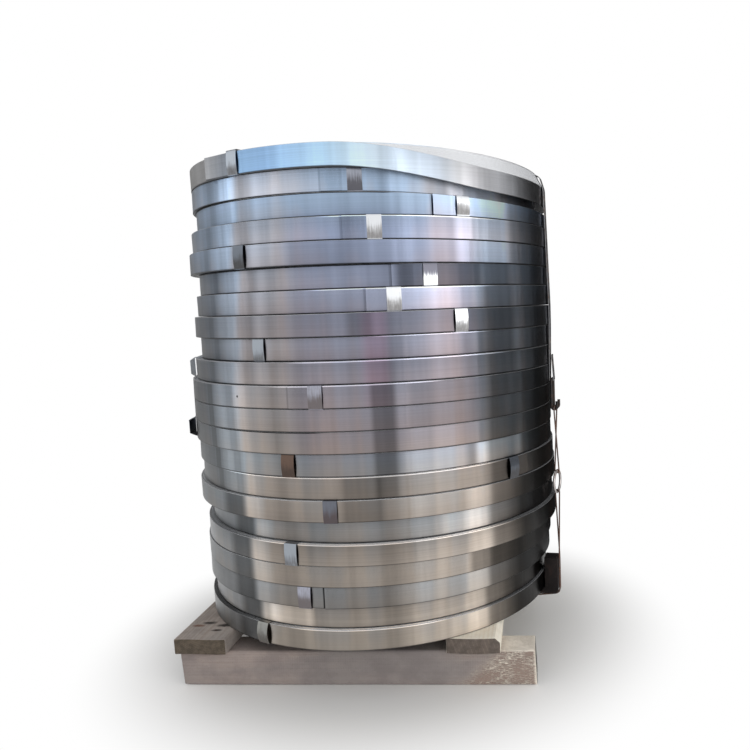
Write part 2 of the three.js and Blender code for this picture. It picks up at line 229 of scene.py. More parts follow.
def timber_finish(name, run, pith, early, late, weather, stain, end_grain_and_shade, ring=4.2, knots=(), torn_and_sunlit=None):
    """Solid timber: rings round a pith, fibres along the run, knots, blotches, and dark sawn end
    faces that are partly end grain and partly painted shade.

    The rings are ring millimetres apart. A knot is its place, which axes it shows across, its size
    and its colour. The last argument gives where the fibres start to tear, along a slanting edge that
    is also a painted sun and shade boundary; from where, along the axis to the right, the end is
    painted sunlit; and the colour of the pale fibres and of that painted sunlight.
    """
    finish, surface, place, normal = new_finish(name)
    tree = finish.node_tree
    facing = split(normal)

    def grain(across, along, location=(0, 0, 0)):
        """Coordinates in which a pattern is drawn out along the timber."""
        scale = [across] * 3
        scale[run] = along
        return stretched(place, scale, location)

    wave = {"Scale": one_mm_rings / ring, "Distortion": 9.0, "Detail": 2.0, "Detail Scale": 0.06}
    rings = add_node(
        tree,
        "TexWave",
        {"Vector": grain(1.0, 0.1, pith), **wave},
        wave_type="RINGS",
        rings_direction="XYZ"[run],
        wave_profile="SAW",
    )["Fac"]
    wood = tones(rings, [(0.0, early), (0.5, early), (0.9, late), (1.0, early)])
    patch = speckle(grain(1.0, 0.1), 9.0, 3)
    wood = blend(between(patch, 0.3, 0.6, 0.35, 0.9), wood, (*early, 1))
    fibres = speckle(grain(260.0, 7.0), 1.0, 4, 0.65)
    wood = blend(between(fibres, 0.35, 0.75, 0.0, 0.45), wood, (*late, 1))
    grey = speckle(grain(9.0, 2.2), 1.0, 5, 0.6)
    wood = blend(between(grey, 0.36, 0.68, 0.0, 0.75), wood, (*weather, 1))
    blotch = speckle(grain(15.0, 11.0, (0.3, 0.1, 0.2)), 1.0, 6, 0.68)
    wood = blend(between(blotch, 0.36, 0.72, 0.0, 0.6), wood, (*stain, 1))
    motes = speckle(place, 210, 3, 0.7)
    wood = blend(between(motes, 0.56, 0.72, 0.0, 0.35), wood, (*stain, 1))
    height = plus(fibres, times(rings, 0.35))
    wobble = speckle(place, 60, 3)
    for centre, flat, size, dark in knots:
        flatten = add_node(tree, "VectorMath", {0: place, 1: flat}, operation="MULTIPLY")[0]
        off = add_node(tree, "VectorMath", {0: flatten, 1: centre}, operation="DISTANCE")
        off = times_plus(wobble, size * 0.9, off["Value"])
        inside = between(off, size * 0.75, size * 1.5, 1.0, 0.0)
        wood = blend(times(inside, 0.9), wood, (*dark, 1))
        height = minus(height, times(inside, 1.2))
    if torn_and_sunlit:
        start, sunlit_end_start, bleached_and_sunlit = torn_and_sunlit
        axes = split(place)
        # The torn zone's slanting edge is also a painted boundary between sun and shade.
        torn_and_sun_edge = times_plus(blotch, 0.05, minus(axes[0], axes[2]))
        where = between(torn_and_sun_edge, start, start + 0.06)
        flecks = speckle(stretched(place, (85, 640, 640)), 1.0, 5, 0.75)
        crowd = between(speckle(place, 22, 2), 0.35, 0.65, -0.5, 0.5)
        flecks = times_plus(crowd, 0.07, flecks)
        # Light flecks: pale fibres, partly painted sunlight.
        light = times(where, between(flecks, 0.50, 0.60))
        wood = blend(times(where, 0.8), wood, (0.33, 0.24, 0.20, 1))
        wood = blend(light, wood, (*bleached_and_sunlit, 1))
        height = plus(height, times(light, 1.5))
        # Painted sunlight on the beam's right end.
        past_sunlit_end = times_plus(flecks, 0.03, axes[0])
        wood = blend(between(past_sunlit_end, sunlit_end_start, sunlit_end_start + 0.006), wood, (*bleached_and_sunlit, 1))
        # Painted sunlight on the upward faces of the torn zone.
        painted_sunlit_top = times(between(facing[2], 0.3, 0.8), where)
        wood = blend(times(painted_sunlit_top, 0.95), wood, (*bleached_and_sunlit, 1))
    saw = add_node(
        tree,
        "TexWave",
        {"Vector": place, "Scale": 55.0, "Distortion": 4.0, "Detail": 2.0, "Detail Scale": 0.4},
        bands_direction="XYZ"[run],
    )["Fac"]
    height = plus(height, times(saw, 0.25))
    # The sawn end faces are darker, partly as end grain and partly as painted shade.
    sawn_end = between(sum_up("ABSOLUTE", facing[run]), 0.6, 0.9, 0.0, 0.95)
    light_end = tuple(tone * 1.5 for tone in end_grain_and_shade)
    damp_end = tuple(tone * 0.5 for tone in end_grain_and_shade)
    sawn = tones(rings, [(0.0, end_grain_and_shade), (0.62, end_grain_and_shade), (0.86, light_end), (1.0, end_grain_and_shade)])
    damp = speckle(place, 55, 5, 0.7)
    sawn = blend(between(damp, 0.38, 0.62, 0.0, 0.8), sawn, (*damp_end, 1))
    feeds = {
        "Base Color": blend(sawn_end, wood, sawn),
        "Normal": bumped(height, 0.8, 0.8 * mm),
        "Roughness": between(fibres, 0.3, 0.7, 0.78, 0.92),
        "Specular IOR Level": 0.3,
    }
    feed(surface, feeds)
    return finish


front_beam = saw_timber("front_beam_timber", "front_beam", 0, beam_arris, beam_net)
rear_beam = saw_timber("rear_beam_timber", "rear_beam", 0, beam_arris, beam_net)
for beam, node, leaning in ((front_beam, "front_beam", 1), (rear_beam, "rear_beam", -1)):
    low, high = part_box(node)
    roughen(beam, 0, saw_depth)
    for corner in beam.data.vertices:
        rise = (corner.co.z - low[2]) / (high[2] - low[2])
        low_share = 1 - rise if leaning > 0 else rise
        left = max(0, 1 - (corner.co.x - low[0]) / end_reach)
        right = max(0, 1 - (high[0] - corner.co.x) / end_reach)
        corner.co.x += end_slant * (left * low_share - 0.6 * right * (1 - low_share))
        near = Vector((corner.co.x - low[0], corner.co.z - low[2]))
        reach = Vector((worn_corner, worn_corner)) - near
        if leaning > 0 and reach.x > 0 and reach.y > 0 and reach.length > worn_corner:
            reach *= worn_corner / reach.length
            corner.co.x = low[0] + worn_corner - reach.x
            corner.co.z = low[2] + worn_corner - reach.y
    smooth(beam)
    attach(beam, "root")
    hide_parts(node)
front_beam.data.materials.append(
    timber_finish(
        "front_beam_wood",
        0,
        pith=(0.1, 0.42, -0.02),
        early=(0.44, 0.365, 0.335),
        late=(0.32, 0.245, 0.215),
        weather=(0.28, 0.26, 0.255),
        stain=(0.21, 0.185, 0.185),
        end_grain_and_shade=(0.09, 0.085, 0.085),
        ring=5.0,
        # where the torn fibres and painted sunlight start, where the painted sunlit end starts, their
        # colour
        torn_and_sunlit=(0.24, 0.425, (0.98, 0.90, 0.79)),
    )
)
rear_beam.data.materials.append(
    timber_finish(
        "rear_beam_wood",
        0,
        pith=(0, -0.30, -0.07),
        early=(0.40, 0.33, 0.28),
        late=(0.27, 0.20, 0.16),
        weather=(0.23, 0.205, 0.19),
        stain=(0.17, 0.14, 0.125),
        end_grain_and_shade=(0.10, 0.085, 0.075),
        knots=(((0.2, 0, 0.06), (1, 0, 1), 11 * mm, (0.13, 0.08, 0.055)),),
    )
)

# ---- Deck boards -----------------------------------------------------------------------------
# Two boards run from front to back across the beams. The left one is knotty; the right one is
# paler, its pale colour partly painted sunlight, with a bark edge left along its upper right
# corner.
board_arris = 3 * mm
board_saw_depth = 0.5 * mm
board_net = 5 * mm
wane = 15 * mm
end_wave = 2 * mm

left_board = saw_timber("left_board_timber", "left_board", 1, board_arris, board_net)
right_board = saw_timber("right_board_timber", "right_board", 1, board_arris, board_net)
for board, node in ((left_board, "left_board"), (right_board, "right_board")):
    low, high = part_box(node)
    roughen(board, 1, board_saw_depth)
    for corner in board.data.vertices:
        if node == "right_board":
            bark = wane * (0.8 + 0.35 * noise.noise(Vector((0, corner.co.y * 7, 3))))
            over = (corner.co.x - high[0] + bark) + (corner.co.z - high[2] + bark) - bark
            if over > 0:
                corner.co.x -= over / 2
                corner.co.z -= over / 2
        front = max(0, 1 - (corner.co.y - low[1]) / end_reach)
        corner.co.y += front * end_wave * (1 + math.sin(corner.co.x * 40))
    smooth(board)
    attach(board, "root")
    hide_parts(node)
smear = (0.45, 1, 0)  # knots and stains are drawn out across the board
tar = (0.010, 0.008, 0.007)


def on_board(node, right, back):
    """A place on a board, measured from its front left corner."""
    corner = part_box(node)[0]
    return corner[0] + right * mm, corner[1] + back * mm


def smear_at(node, right, back):
    right, back = on_board(node, right, back)
    return right * smear[0], back, 0


left_board.data.materials.append(
    timber_finish(
        "left_board_wood",
        1,
        pith=(0.37, 0, -0.02),
        early=(0.47, 0.41, 0.37),
        late=(0.30, 0.23, 0.19),
        weather=(0.37, 0.355, 0.345),
        stain=(0.21, 0.18, 0.165),
        end_grain_and_shade=(0.12, 0.094, 0.068),
        knots=(
            (smear_at("left_board", 50, 95), smear, 11 * mm, tar),
            (smear_at("left_board", 28, 80), smear, 9 * mm, (0.18, 0.10, 0.07)),
            (smear_at("left_board", 86, 53), smear, 8 * mm, tar),
            (smear_at("left_board", 97, 82), smear, 12 * mm, tar),
            (smear_at("left_board", 58, 596), smear, 10 * mm, (0.13, 0.08, 0.05)),
        ),
    )
)
right_board.data.materials.append(
    timber_finish(
        "right_board_wood",
        1,
        pith=(0.30, 0, 0.10),
        # Pale tones that are partly painted sunlight on the board's top.
        early=(0.95, 0.91, 0.80),
        late=(0.80, 0.70, 0.55),
        weather=(0.88, 0.85, 0.76),
        stain=(0.70, 0.62, 0.50),
        end_grain_and_shade=(0.125, 0.096, 0.082),
        ring=9.0,
        knots=((smear_at("right_board", 44, 766), smear, 12 * mm, (0.2, 0.12, 0.07)),),
    )
)

# ---- Nails -----------------------------------------------------------------------------------
# Round wire nails hold each board to the beams under it, two or three to a crossing, with their
# heads driven a little below the wood. They are bare steel that has begun to rust.
head_radius = 3.6 * mm
head_depth = 5 * mm
head_sunk = 0.4 * mm
# Each nail's board, and how far it is to the right and to the back of the board's front corner.
nail_places = (
    ("left_board", 48, 93),
    ("left_board", 84, 53),
    ("left_board", 97, 75),
    ("left_board", 38, 738),
    ("left_board", 106, 767),
    ("right_board", 34, 49),
    ("right_board", 92, 80),
    ("right_board", 29, 741),
    ("right_board", 94, 774),
)


def pick_faces(piece, test):
    bpy.ops.mesh.select_mode(type="FACE")
    bpy.ops.mesh.select_all(action="DESELECT")
    shell = bmesh.from_edit_mesh(piece.data)
    for face in shell.faces:
        face.select_set(bool(test(face.normal)))
    bmesh.update_edit_mesh(piece.data)


def join_up(pieces):
    """Makes one piece of several, under the first one's name."""
    bpy.ops.object.select_all(action="DESELECT")
    for piece in pieces:
        piece.select_set(True)
    bpy.context.view_layer.objects.active = pieces[0]
    bpy.ops.object.join()
    return pieces[0]


bpy.ops.object.select_all(action="DESELECT")
deck_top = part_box("left_board")[1][2]
head_middle = deck_top - head_sunk - head_depth / 2
bpy.ops.mesh.primitive_cylinder_add(
    vertices=20, radius=head_radius, depth=head_depth, location=(0, 0, head_middle)
)
nail = bpy.context.active_object
bpy.ops.object.transform_apply(location=True, rotation=False, scale=False)
bpy.ops.object.mode_set(mode="EDIT")
pick_edges(nail, lambda a, b: min(a.z, b.z) > deck_top - 1 * mm)
bpy.ops.mesh.bevel(offset=0.7 * mm, segments=2, affect="EDGES")
pick_faces(nail, lambda normal: normal.z > 0.9)
bpy.ops.mesh.inset(thickness=1.2 * mm, depth=0.25 * mm)
bpy.ops.object.mode_set(mode="OBJECT")
nails = []
for place in nail_places:
    copy = nail.copy()
    copy.data = nail.data.copy()
    bpy.context.collection.objects.link(copy)
    copy.data.transform(Matrix.Translation((*on_board(*place), 0)))
    nails.append(copy)
bpy.data.objects.remove(nail)
nail_heads = join_up(nails)
nail_heads.name = "nail_heads"
smooth(nail_heads, 40)
nail_steel, surface, place, _ = new_finish("nail_steel")
rust = between(speckle(place, 420, 4, 0.6), 0.4, 0.6)
colour = blend(rust, (0.055, 0.05, 0.05, 1), (0.07, 0.032, 0.02, 1))
feeds = {
    "Base Color": colour,
    "Roughness": between(rust, 0, 1, 0.45, 0.85),
    "Metallic": between(rust, 0, 1, 0.9, 0.1),
}
feed(surface, feeds)
nail_heads.data.materials.append(nail_steel)
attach(nail_heads, "root")

# ---- Coils -----------------------------------------------------------------------------------
# Coils of bright slit strip, 50 wide, lie one on another with packing bands between. Each is
# wound tight as a spiral, so it shows one step, where the outer turn ends; the slit edges of the
# outer turns don't lie quite level.
strip_width = 50 * mm
turn = 1.5 * mm
coil_radius = 476 * mm
bore_radius = 254 * mm
layer_pitch = 51.5 * mm
fit_gap = 0.3 * mm  # between the deck and the lowest coil
beam_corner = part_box("front_beam")[0]
axis_right = 437.5 * mm  # the stack's axis, from the front beam's left front corner
axis_back = 386 * mm
stack_axis = Vector((beam_corner[0] + axis_right, beam_corner[1] + axis_back, 0))
wall_middle = 360 * mm  # what is further out belongs to the outer turns
wall_reach = 90 * mm
slit_lift = 0.12 * mm  # how unevenly the turns' edges stand
steps_round = 144
full_round = 359.97  # degrees; the pattern is joined up where it meets itself
parted_round = 359.9  # the outer turn's two ends stay apart
spring_reach = 8  # degrees along which a loose tail lifts off

# Each coil, from the lowest up: its radius over the nominal, its slip to the right and to the
# back in millimetres, the angle of its tail, how far the tail springs off in millimetres, and how
# far the coil's upper edge has settled at the far right.
coils = (
    (-4, -3, 4, 120, 0, 0),
    (-10, -1, 9, 150, 0, 0),
    (0, 1, 4, -5, 3.0, 0),
    (1, 5, 0, 200, 0, 0),
    (7, 15, 0, 165, 0, 0),
    (-3, 17, 5, 130, 0, 0),
    (12, 8, 1, 230, 0, 0),
    (6, 12, -1, 115, 0, 0),
    (7, 6, 1, 170, 0, 0),
    (9, 5, -2, 250, 0, 0),
    (8, 6, -8, 185, 0, 0),
    (8, 7, -11, -11.5, 1.2, 0),
    (3, 13, -8, 140, 0, 0),
    (-5, 21, -4, 210, 0, 0),
    (3, 16, -3, 125, 0, 0),
    (-3, 19, -2, 8.75, 1.2, 0),
    (-9, 22, 0, 15.25, 1.5, 4),
    (1, 13, -1, 190, 0, 6),
    (-3, 17, 1, 3.75, 1.0, 7),
    (-12, 23, 2, 27.25, 5.0, 22),
    (-23, 4, 0, -0.25, 1.2, 25),
    (-9, 19, 1, -41, 6.0, 25),
)
settle_start = -60 * mm
settle_reach = 536 * mm


def layer_base(index):
    return deck_top + fit_gap + index * layer_pitch


def coil_centre(index):
    return stack_axis + Vector((coils[index][1] * mm, coils[index][2] * mm, layer_base(index)))


def settled(index, right, up):
    """How far a place on a coil has sunk, by its distance to the right and its height."""
    below, own = coils[max(index - 1, 0)][5], coils[index][5]
    ramp = np.clip((right - settle_start) / settle_reach, 0, 1) ** 2
    return (below + (own - below) * np.clip(up / strip_width, 0, 1)) * mm * ramp


def draw_outline(name, points):
    """Draws an outline in the X-Z plane, one corner after another, and stays in edit mode."""
    bpy.ops.object.select_all(action="DESELECT")
    bpy.ops.mesh.primitive_plane_add(size=1 * mm, location=(points[0][0], 0, points[0][1]))
    bpy.ops.object.transform_apply(location=True, rotation=False, scale=False)
    piece = bpy.context.active_object
    piece.name = name
    bpy.ops.object.mode_set(mode="EDIT")
    bpy.ops.mesh.select_mode(type="VERT")
    bpy.ops.mesh.select_all(action="SELECT")
    bpy.ops.mesh.merge(type="CENTER")
    for here, there in zip(points, points[1:]):
        reach = (there[0] - here[0], 0, there[1] - here[1])
        bpy.ops.mesh.extrude_vertices_move(TRANSFORM_OT_translate={"value": reach})
    bpy.ops.mesh.select_all(action="SELECT")
    bpy.ops.mesh.remove_doubles(threshold=0.01 * mm)
    return piece


def wind_pattern(name, outline, sweep):
    """Spins an outline round the upright axis; a full turn is joined up, a shorter one capped."""
    pattern = draw_outline(name, outline + outline[:1])
    bpy.ops.mesh.select_all(action="SELECT")
    bpy.ops.mesh.spin(
        steps=steps_round, angle=-math.radians(sweep), center=(0, 0, 0), axis=(0, 0, 1)
    )
    if sweep == full_round:
        pick_edges(pattern, lambda a, b: max(abs(a.y), abs(b.y)) < 2 * mm and a.x > 0)
        bpy.ops.mesh.bridge_edge_loops()
    else:
        bpy.ops.mesh.select_all(action="SELECT")
        bpy.ops.mesh.fill_holes(sides=0)
    bpy.ops.mesh.select_all(action="SELECT")
    bpy.ops.mesh.normals_make_consistent(inside=False)
    bpy.ops.object.mode_set(mode="OBJECT")
    return pattern


def edge_steps(outer, widths, lifts):
    """The upper corners of turns that stand at their own heights, from the outside in."""
    corners = []
    for width, lift in zip(widths, lifts):
        top = strip_width + lift
        corners += [(outer - 0.2 * mm, top), (outer - width + 0.15 * mm, top)]
        outer -= width
        corners.append((outer, top - 0.6 * mm))
    return corners


def rings_of(pattern):
    """Each corner's distance out, share of the way round from the tail, and height."""
    flat = np.empty(len(pattern.vertices) * 3)
    pattern.vertices.foreach_get("co", flat)
    x, y, up = flat.reshape(-1, 3).T
    share = ((np.degrees(np.arctan2(y, x)) + 0.01) % 360 - 0.01) / 360
    return np.hypot(x, y), share, up


def map_corners(mesh, name, first, second):
    """A surface map with its two values given for each corner of the mesh."""
    corner_of = np.empty(len(mesh.loops), dtype=np.int32)
    mesh.loops.foreach_get("vertex_index", corner_of)
    flat = np.stack((first[corner_of], second[corner_of]), axis=1)
    mesh.uv_layers.new(name=name).data.foreach_set("uv", flat.ravel())


def mark_turns(pattern):
    """A map whose second axis is the distance out, so that each turn's edge can be found."""
    out, share, _ = rings_of(pattern)
    map_corners(pattern, "turns", share, out)


def lay_coil(name, index, pattern, rings, finishes, strip_from=0, sink=None):
    """A coil from a pattern: wound as a spiral from its tail, sized, and set in the stack.

    Its corners before strip_from aren't of the outer turn and don't spring off; sink gives how far
    a turn has slid down.
    """
    over, right, _, tail, spring, _ = coils[index]
    out, share, up = rings
    angle = np.radians(tail - 90) + 2 * np.pi * share
    outer = out > wall_middle
    edge = np.clip((out - wall_middle) / wall_reach, 0, 1)
    radius = np.where(outer, out + edge * over * mm - turn * share, out + turn * (1 - share))
    lift = spring * mm * np.clip(1 - share * 360 / spring_reach, 0, 1) ** 2
    lift[:strip_from] = 0
    radius += lift
    sway = 0.3 * (1 + np.sin(2 * angle + index * 1.7)) + 0.2 * (1 + np.sin(3 * angle + index * 2.9))
    radius -= np.where(outer, (sway + 0.5 * up / strip_width * (index % 3)) * mm, 0)
    number = (coil_radius - out) / turn + share
    level = slit_lift * (1 + np.sin(number * 2.3 + index))
    middle = up - strip_width / 2
    height = up - np.sign(middle) * np.where(outer, level, 0)
    if sink is not None:
        height -= sink(number, angle)
    height -= settled(index, radius * np.cos(angle) + right * mm, up)
    centre = coil_centre(index)
    corners = np.stack(
        (
            centre.x + radius * np.cos(angle),
            centre.y + radius * np.sin(angle),
            centre.z + height,
        ),
        axis=1,
    )
    mesh = pattern.copy()
    mesh.name = name
    mesh.vertices.foreach_set("co", corners.ravel())
    mesh.update()
    map_corners(mesh, "strip", np.full(len(up), index), up / strip_width)
    for finish in finishes:
        mesh.materials.append(finish)
    piece = bpy.data.objects.new(name, mesh)
    bpy.context.collection.objects.link(piece)
    return piece


def split_finish(pattern):
    """Gives the slit edges, which face up or down, the second finish."""
    for face in pattern.polygons:
        face.material_index = int(abs(face.normal.z) > 0.3)


outer_face = [(coil_radius - turn, 49.8 * mm), (coil_radius - turn, 0.2 * mm)]
under = [(coil_radius - 2 * turn, 0), (coil_radius - 8 * turn, 0)]
bore_edges = ((3.0, 0.0), (2.0, 0.5), (1.0, 0.1), (0.0, 0.6))
bore_under = [(bore_radius + count * turn, cut * mm) for count, cut in bore_edges]
bore_over = [(bore_radius + count * turn, strip_width - cut * mm) for count, cut in bore_edges]
turn_lifts = [-0.1 * mm, -0.7 * mm, -0.3 * mm, 0.0, -0.9 * mm, -0.2 * mm, -0.5 * mm]
steps = edge_steps(coil_radius - turn, [turn] * 7, turn_lifts)
body_outline = outer_face + under + bore_under + bore_over[::-1] + steps[::-1]
body = wind_pattern("body_pattern", body_outline, full_round)
slit_ease = 0.6 * mm
inside = coil_radius - turn + 0.05 * mm
outer_turn = wind_pattern(
    "outer_turn_pattern",
    [
        (inside, 0),
        (coil_radius - slit_ease, 0),
        (coil_radius, slit_ease),
        (coil_radius, strip_width - slit_ease),
        (coil_radius - slit_ease, strip_width),
        (inside, strip_width),
    ],
    parted_round,
)
for pattern in (body, outer_turn):
    mark_turns(pattern.data)
split_finish(outer_turn.data)
turn_pattern = outer_turn.data.copy()
body_corners = len(body.data.vertices)
join_up([body, outer_turn])
split_finish(body.data)
rings = rings_of(body.data)

# Painted reflections, highlights and shade run up the stack in upright bands: the bearings where
# each starts, is full, fades and is gone, and how light it leaves the lower, middle, upper and
# highest coils.
painted_light_bands = (
    (-60, -52, -45, -42, (1.00, 0.70, 0.95, 1.25)),
    (-41, -36, -31, -28, (0.33, 1.12, 1.20, 1.00)),
    (-44, -43, -41, -40, (1.0, 0.58, 0.80, 0.90)),
    (-40, -38.5, -35, -33.5, (1.0, 1.18, 1.05, 1.15)),
    (-34, -33, -31, -30, (1.0, 0.78, 0.92, 1.05)),
    (-30, -29, -26.5, -24.5, (1.0, 1.22, 1.10, 0.85)),
    (-31, -28, -25, -21, (1.45, 1.05, 0.74, 0.78)),
    (-24, -21, -15, -12, (0.85, 1.00, 1.20, 1.28)),
    (8.5, 10.5, 14.5, 16.5, (0.92, 0.50, 0.90, 0.95)),
    (13, 17, 21, 25, (1.25, 1.15, 0.92, 1.15)),
    (17, 20, 33, 36, (1.00, 0.92, 0.76, 0.80)),
    (33, 36, 41, 44, (1.50, 0.82, 0.45, 1.25)),
    (41, 44, 52, 56, (0.66, 0.46, 0.37, 1.75)),
    (47, 57, 100, 125, (0.08, 0.43, 0.95, 1.10)),
)
# By share of the stack's height, where each of the four tones holds.
tone_steps = ((0.30, 0), (0.34, 1), (0.54, 1), (0.58, 2), (0.77, 2), (0.80, 3))
# Single stretches of one coil get a painted highlight or painted shade: its place in the stack,
# counted from 0, the bearings between which they lie, and how light they are.
painted_light_stretches = (
    (0, -60, -20, 0.82),
    (0, 28, 46, 1.3),
    (1, -60, -24, 1.1),
    (1, -27, -10, 1.9),
    (2, -60, -20, 0.82),
    (2, -8, 14, 0.8),
    (3, 34, 58, 0.42),
    (4, 38, 56, 1.15),
    (5, 26, 58, 1.5),
    (6, -1, 13, 0.60),
    (7, -1, 13, 0.60),
    (8, 16, 37, 1.45),
    (8, 37, 58, 2.9),
    (10, 17, 50, 0.72),
    (11, 17, 52, 0.68),
    (13, 17, 42, 1.35),
    (14, 3, 12, 0.66),
    (15, 15, 43, 1.95),
    (16, 16, 44, 0.45),
    (17, -12, 12, 0.78),
    (19, 30, 54, 1.15),
    (20, -38, 16, 1.28),
    (20, 26, 42, 0.8),
    (12, -70, -60, 0.15),
    (14, -60, 70, 0.85),
    (15, 40, 56, 1.35),
    (16, 38, 56, 1.3),
)
# Upper rims with a painted highlight, or a painted shadow under the coil above: the coil's place
# in the stack, the bearings between which it lies, and the tone that it adds.
painted_light_rims = (
    (0, -20, 30, 2.0),
    (1, 5, 50, 2.0),
    (4, -30, 52, 2.0),
    (7, -42, 48, 2.0),
    (9, -42, -2, -2.0),
    (11, -20, 30, 2.0),
    (12, -14, 52, 2.0),
    (13, 8, 46, 2.0),
    (15, -8, 48, 2.0),
    (16, -60, 20, -2.0),
    (18, -4, 50, 2.0),
    (19, -60, 20, -2.0),
)
cool_layers = (2, 5, 8, 19)  # bluer than the others
wiped_tails = (15, 19)  # wiped clean at the outer turn's end
loosest_tail = 2  # stands off most and has the darkest painted shadow beside its tail
oil_mark = (11, -28.6)  # one dark spot: its layer and its bearing
mark_edge = (2 * mm, 3.5 * mm)  # how far from its middle the spot fades
metres_a_degree = 0.0083  # along a coil's face
stack_height = 1.27
# Heights between which the painted shade and light on the slit edges come and go.
over_lowest = (0.19, 0.2)
under_top = (1.19, 1.2)
on_top_face = (1.2, 1.21)


def bearing_of(axes):
    """The angle of a place round the stack in degrees, from the front to the right."""
    return sum_up("DEGREES", sum_up("ARCTAN2", axes[0], times(axes[1], -1.0)))


def grey_of(shade):
    return add_node(tree_of(shade), "CombineXYZ", {0: shade, 1: shade, 2: shade})[0]


def strip_steel(name, on_top=False, bared=1.0):
    """Rolled, oiled strip: fine lines along it, with painted reflections, highlights and shade
    round the coil and a painted shadow beside the tail.

    The top coil has painted reflection colours of its own, and its bared turns are brighter.
    """
    finish, surface, place, _ = new_finish(name)
    tree = finish.node_tree
    axes = split(stretched(place, (1, 1, 1), location=(0.003, -0.007, 0)))
    bearing = bearing_of(axes)
    strip = split(add_node(tree, "UVMap", {}, uv_map="strip")[0])
    layer, up = strip[0], strip[1]
    flat = add_node(tree, "CombineXYZ", {0: axes[0], 1: axes[1]})[0]
    round_it = add_node(tree, "VectorMath", {0: flat}, operation="NORMALIZE")[0]
    own = add_node(tree, "TexWhiteNoise", {"W": layer}, noise_dimensions="1D")["Value"]

    def is_layer(number):
        return sum_up("COMPARE", layer, float(number), 0.5)

    def round_noise(count, detail, each):
        """A pattern that changes only round the coil, alike on all coils or each its own."""
        wide = add_node(tree, "VectorMath", {0: round_it, 3: count}, operation="SCALE")[0]
        rise = add_node(tree, "CombineXYZ", {2: times(layer, each)})[0]
        moved = add_node(tree, "VectorMath", {0: wide, 1: rise}, operation="ADD")[0]
        return speckle(moved, 1.0, detail, 0.6)

    # The first pattern paints soft upright reflection streaks round the coil, alike on all coils.
    painted_reflection_streaks = round_noise(8.0, 3, 0.04)
    hue = round_noise(6.0, 2, 0.05)
    patch = round_noise(5.0, 3, 7.3)
    lines = speckle(stretched(place, (1.2, 1.2, 420)), 1.0, 5, 0.8)
    haze = speckle(stretched(place, (7, 7, 26)), 1.0, 4, 0.6)
    height = sum_up("DIVIDE", axes[2], stack_height)
    # Its colour goes from warm to blue, each by the share of the stack's height, as a painted
    # reflection of warm ground below and blue sky above.
    warm = [
        (0.1, (0.335, 0.294, 0.252)),
        (0.45, (0.315, 0.274, 0.243)),
        (0.70, (0.345, 0.315, 0.325)),
        (0.90, (0.440, 0.450, 0.500)),
    ]
    cool = [
        (0.1, (0.240, 0.240, 0.242)),
        (0.45, (0.233, 0.257, 0.280)),
        (0.70, (0.260, 0.294, 0.350)),
        (0.90, (0.330, 0.428, 0.570)),
    ]
    # The mix also shifts round the coil, at the front, on the right and up each strip, as painted
    # reflection; some coils are bluer.
    hue = plus(between(hue, 0.4, 0.6, -0.2, 0.2), between(bearing, -32, -27, 0.9, 0.1))
    front = times(between(bearing, -14, -3), between(height, 0.35, 0.8))
    front = times(front, between(bearing, 20, 30, 0.8, 0.15))
    hue = plus(hue, front)
    hue = plus(hue, between(up, 0.1, 0.9, -0.12, 0.16))
    right = times(between(bearing, 28, 42), between(height, 0.42, 0.5, 0, 0.6))
    hue = times_plus(right, between(height, 0.78, 0.84, 1, 0), hue)
    for number in cool_layers:
        hue = times_plus(is_layer(number), 0.5, hue)
    tint = blend(hue, tones(height, warm), tones(height, cool))
    # Painted violet and pink reflections on some coils.
    painted_violet_reflection = times(window(bearing, -16, -6, 36, 44), window(height, 0.4, 0.5, 0.84, 0.9))
    tint = blend(painted_violet_reflection, tint, (1.02, 0.955, 1.02, 1), "MULTIPLY")
    painted_pink_reflection = times(window(bearing, 6, 10, 13, 16), window(layer, 10, 12, 14, 15))
    tint = blend(painted_pink_reflection, tint, (1.15, 0.92, 0.97, 1), "MULTIPLY")
    # The top coil's own colours, by share of the way round from the back: painted reflections of
    # blue sky and bright light, with painted shade beside its band.
    top_painted_reflection = [
        (0.30, (0.50, 0.50, 0.495)),
        (0.38, (0.42, 0.42, 0.43)),
        (0.405, (0.21, 0.225, 0.25)),
        (0.4245, (0.15, 0.17, 0.20)),
        (0.4255, (0.28, 0.45, 0.67)),
        (0.455, (0.40, 0.64, 0.98)),
        (0.50, (0.52, 0.76, 1.0)),
        (0.524, (0.68, 0.86, 1.0)),
        (0.538, (0.74, 0.88, 1.0)),
        (0.553, (0.58, 0.68, 0.80)),
        (0.583, (0.39, 0.44, 0.51)),
        (0.60, (0.40, 0.41, 0.43)),
        (0.617, (0.68, 0.68, 0.71)),
        (0.66, (0.78, 0.80, 0.85)),
        (0.72, (0.60, 0.60, 0.62)),
    ]
    if on_top:
        tint = tones(times_plus(bearing, 1 / 360, 0.5), top_painted_reflection)
    # How light it is: patterns, then the painted highlights, reflections and shade of the bands,
    # stretches and rims of the tables above.
    shade = times_plus(own, 0.20, 0.03)
    for pattern, strength in ((painted_reflection_streaks, 0.90), (patch, 0.32), (lines, 0.42), (haze, 0.14)):
        shade = times_plus(pattern, strength, shade)
    shade = times_plus(times(minus(own, 0.5), minus(up, 0.5)), 0.5, shade)
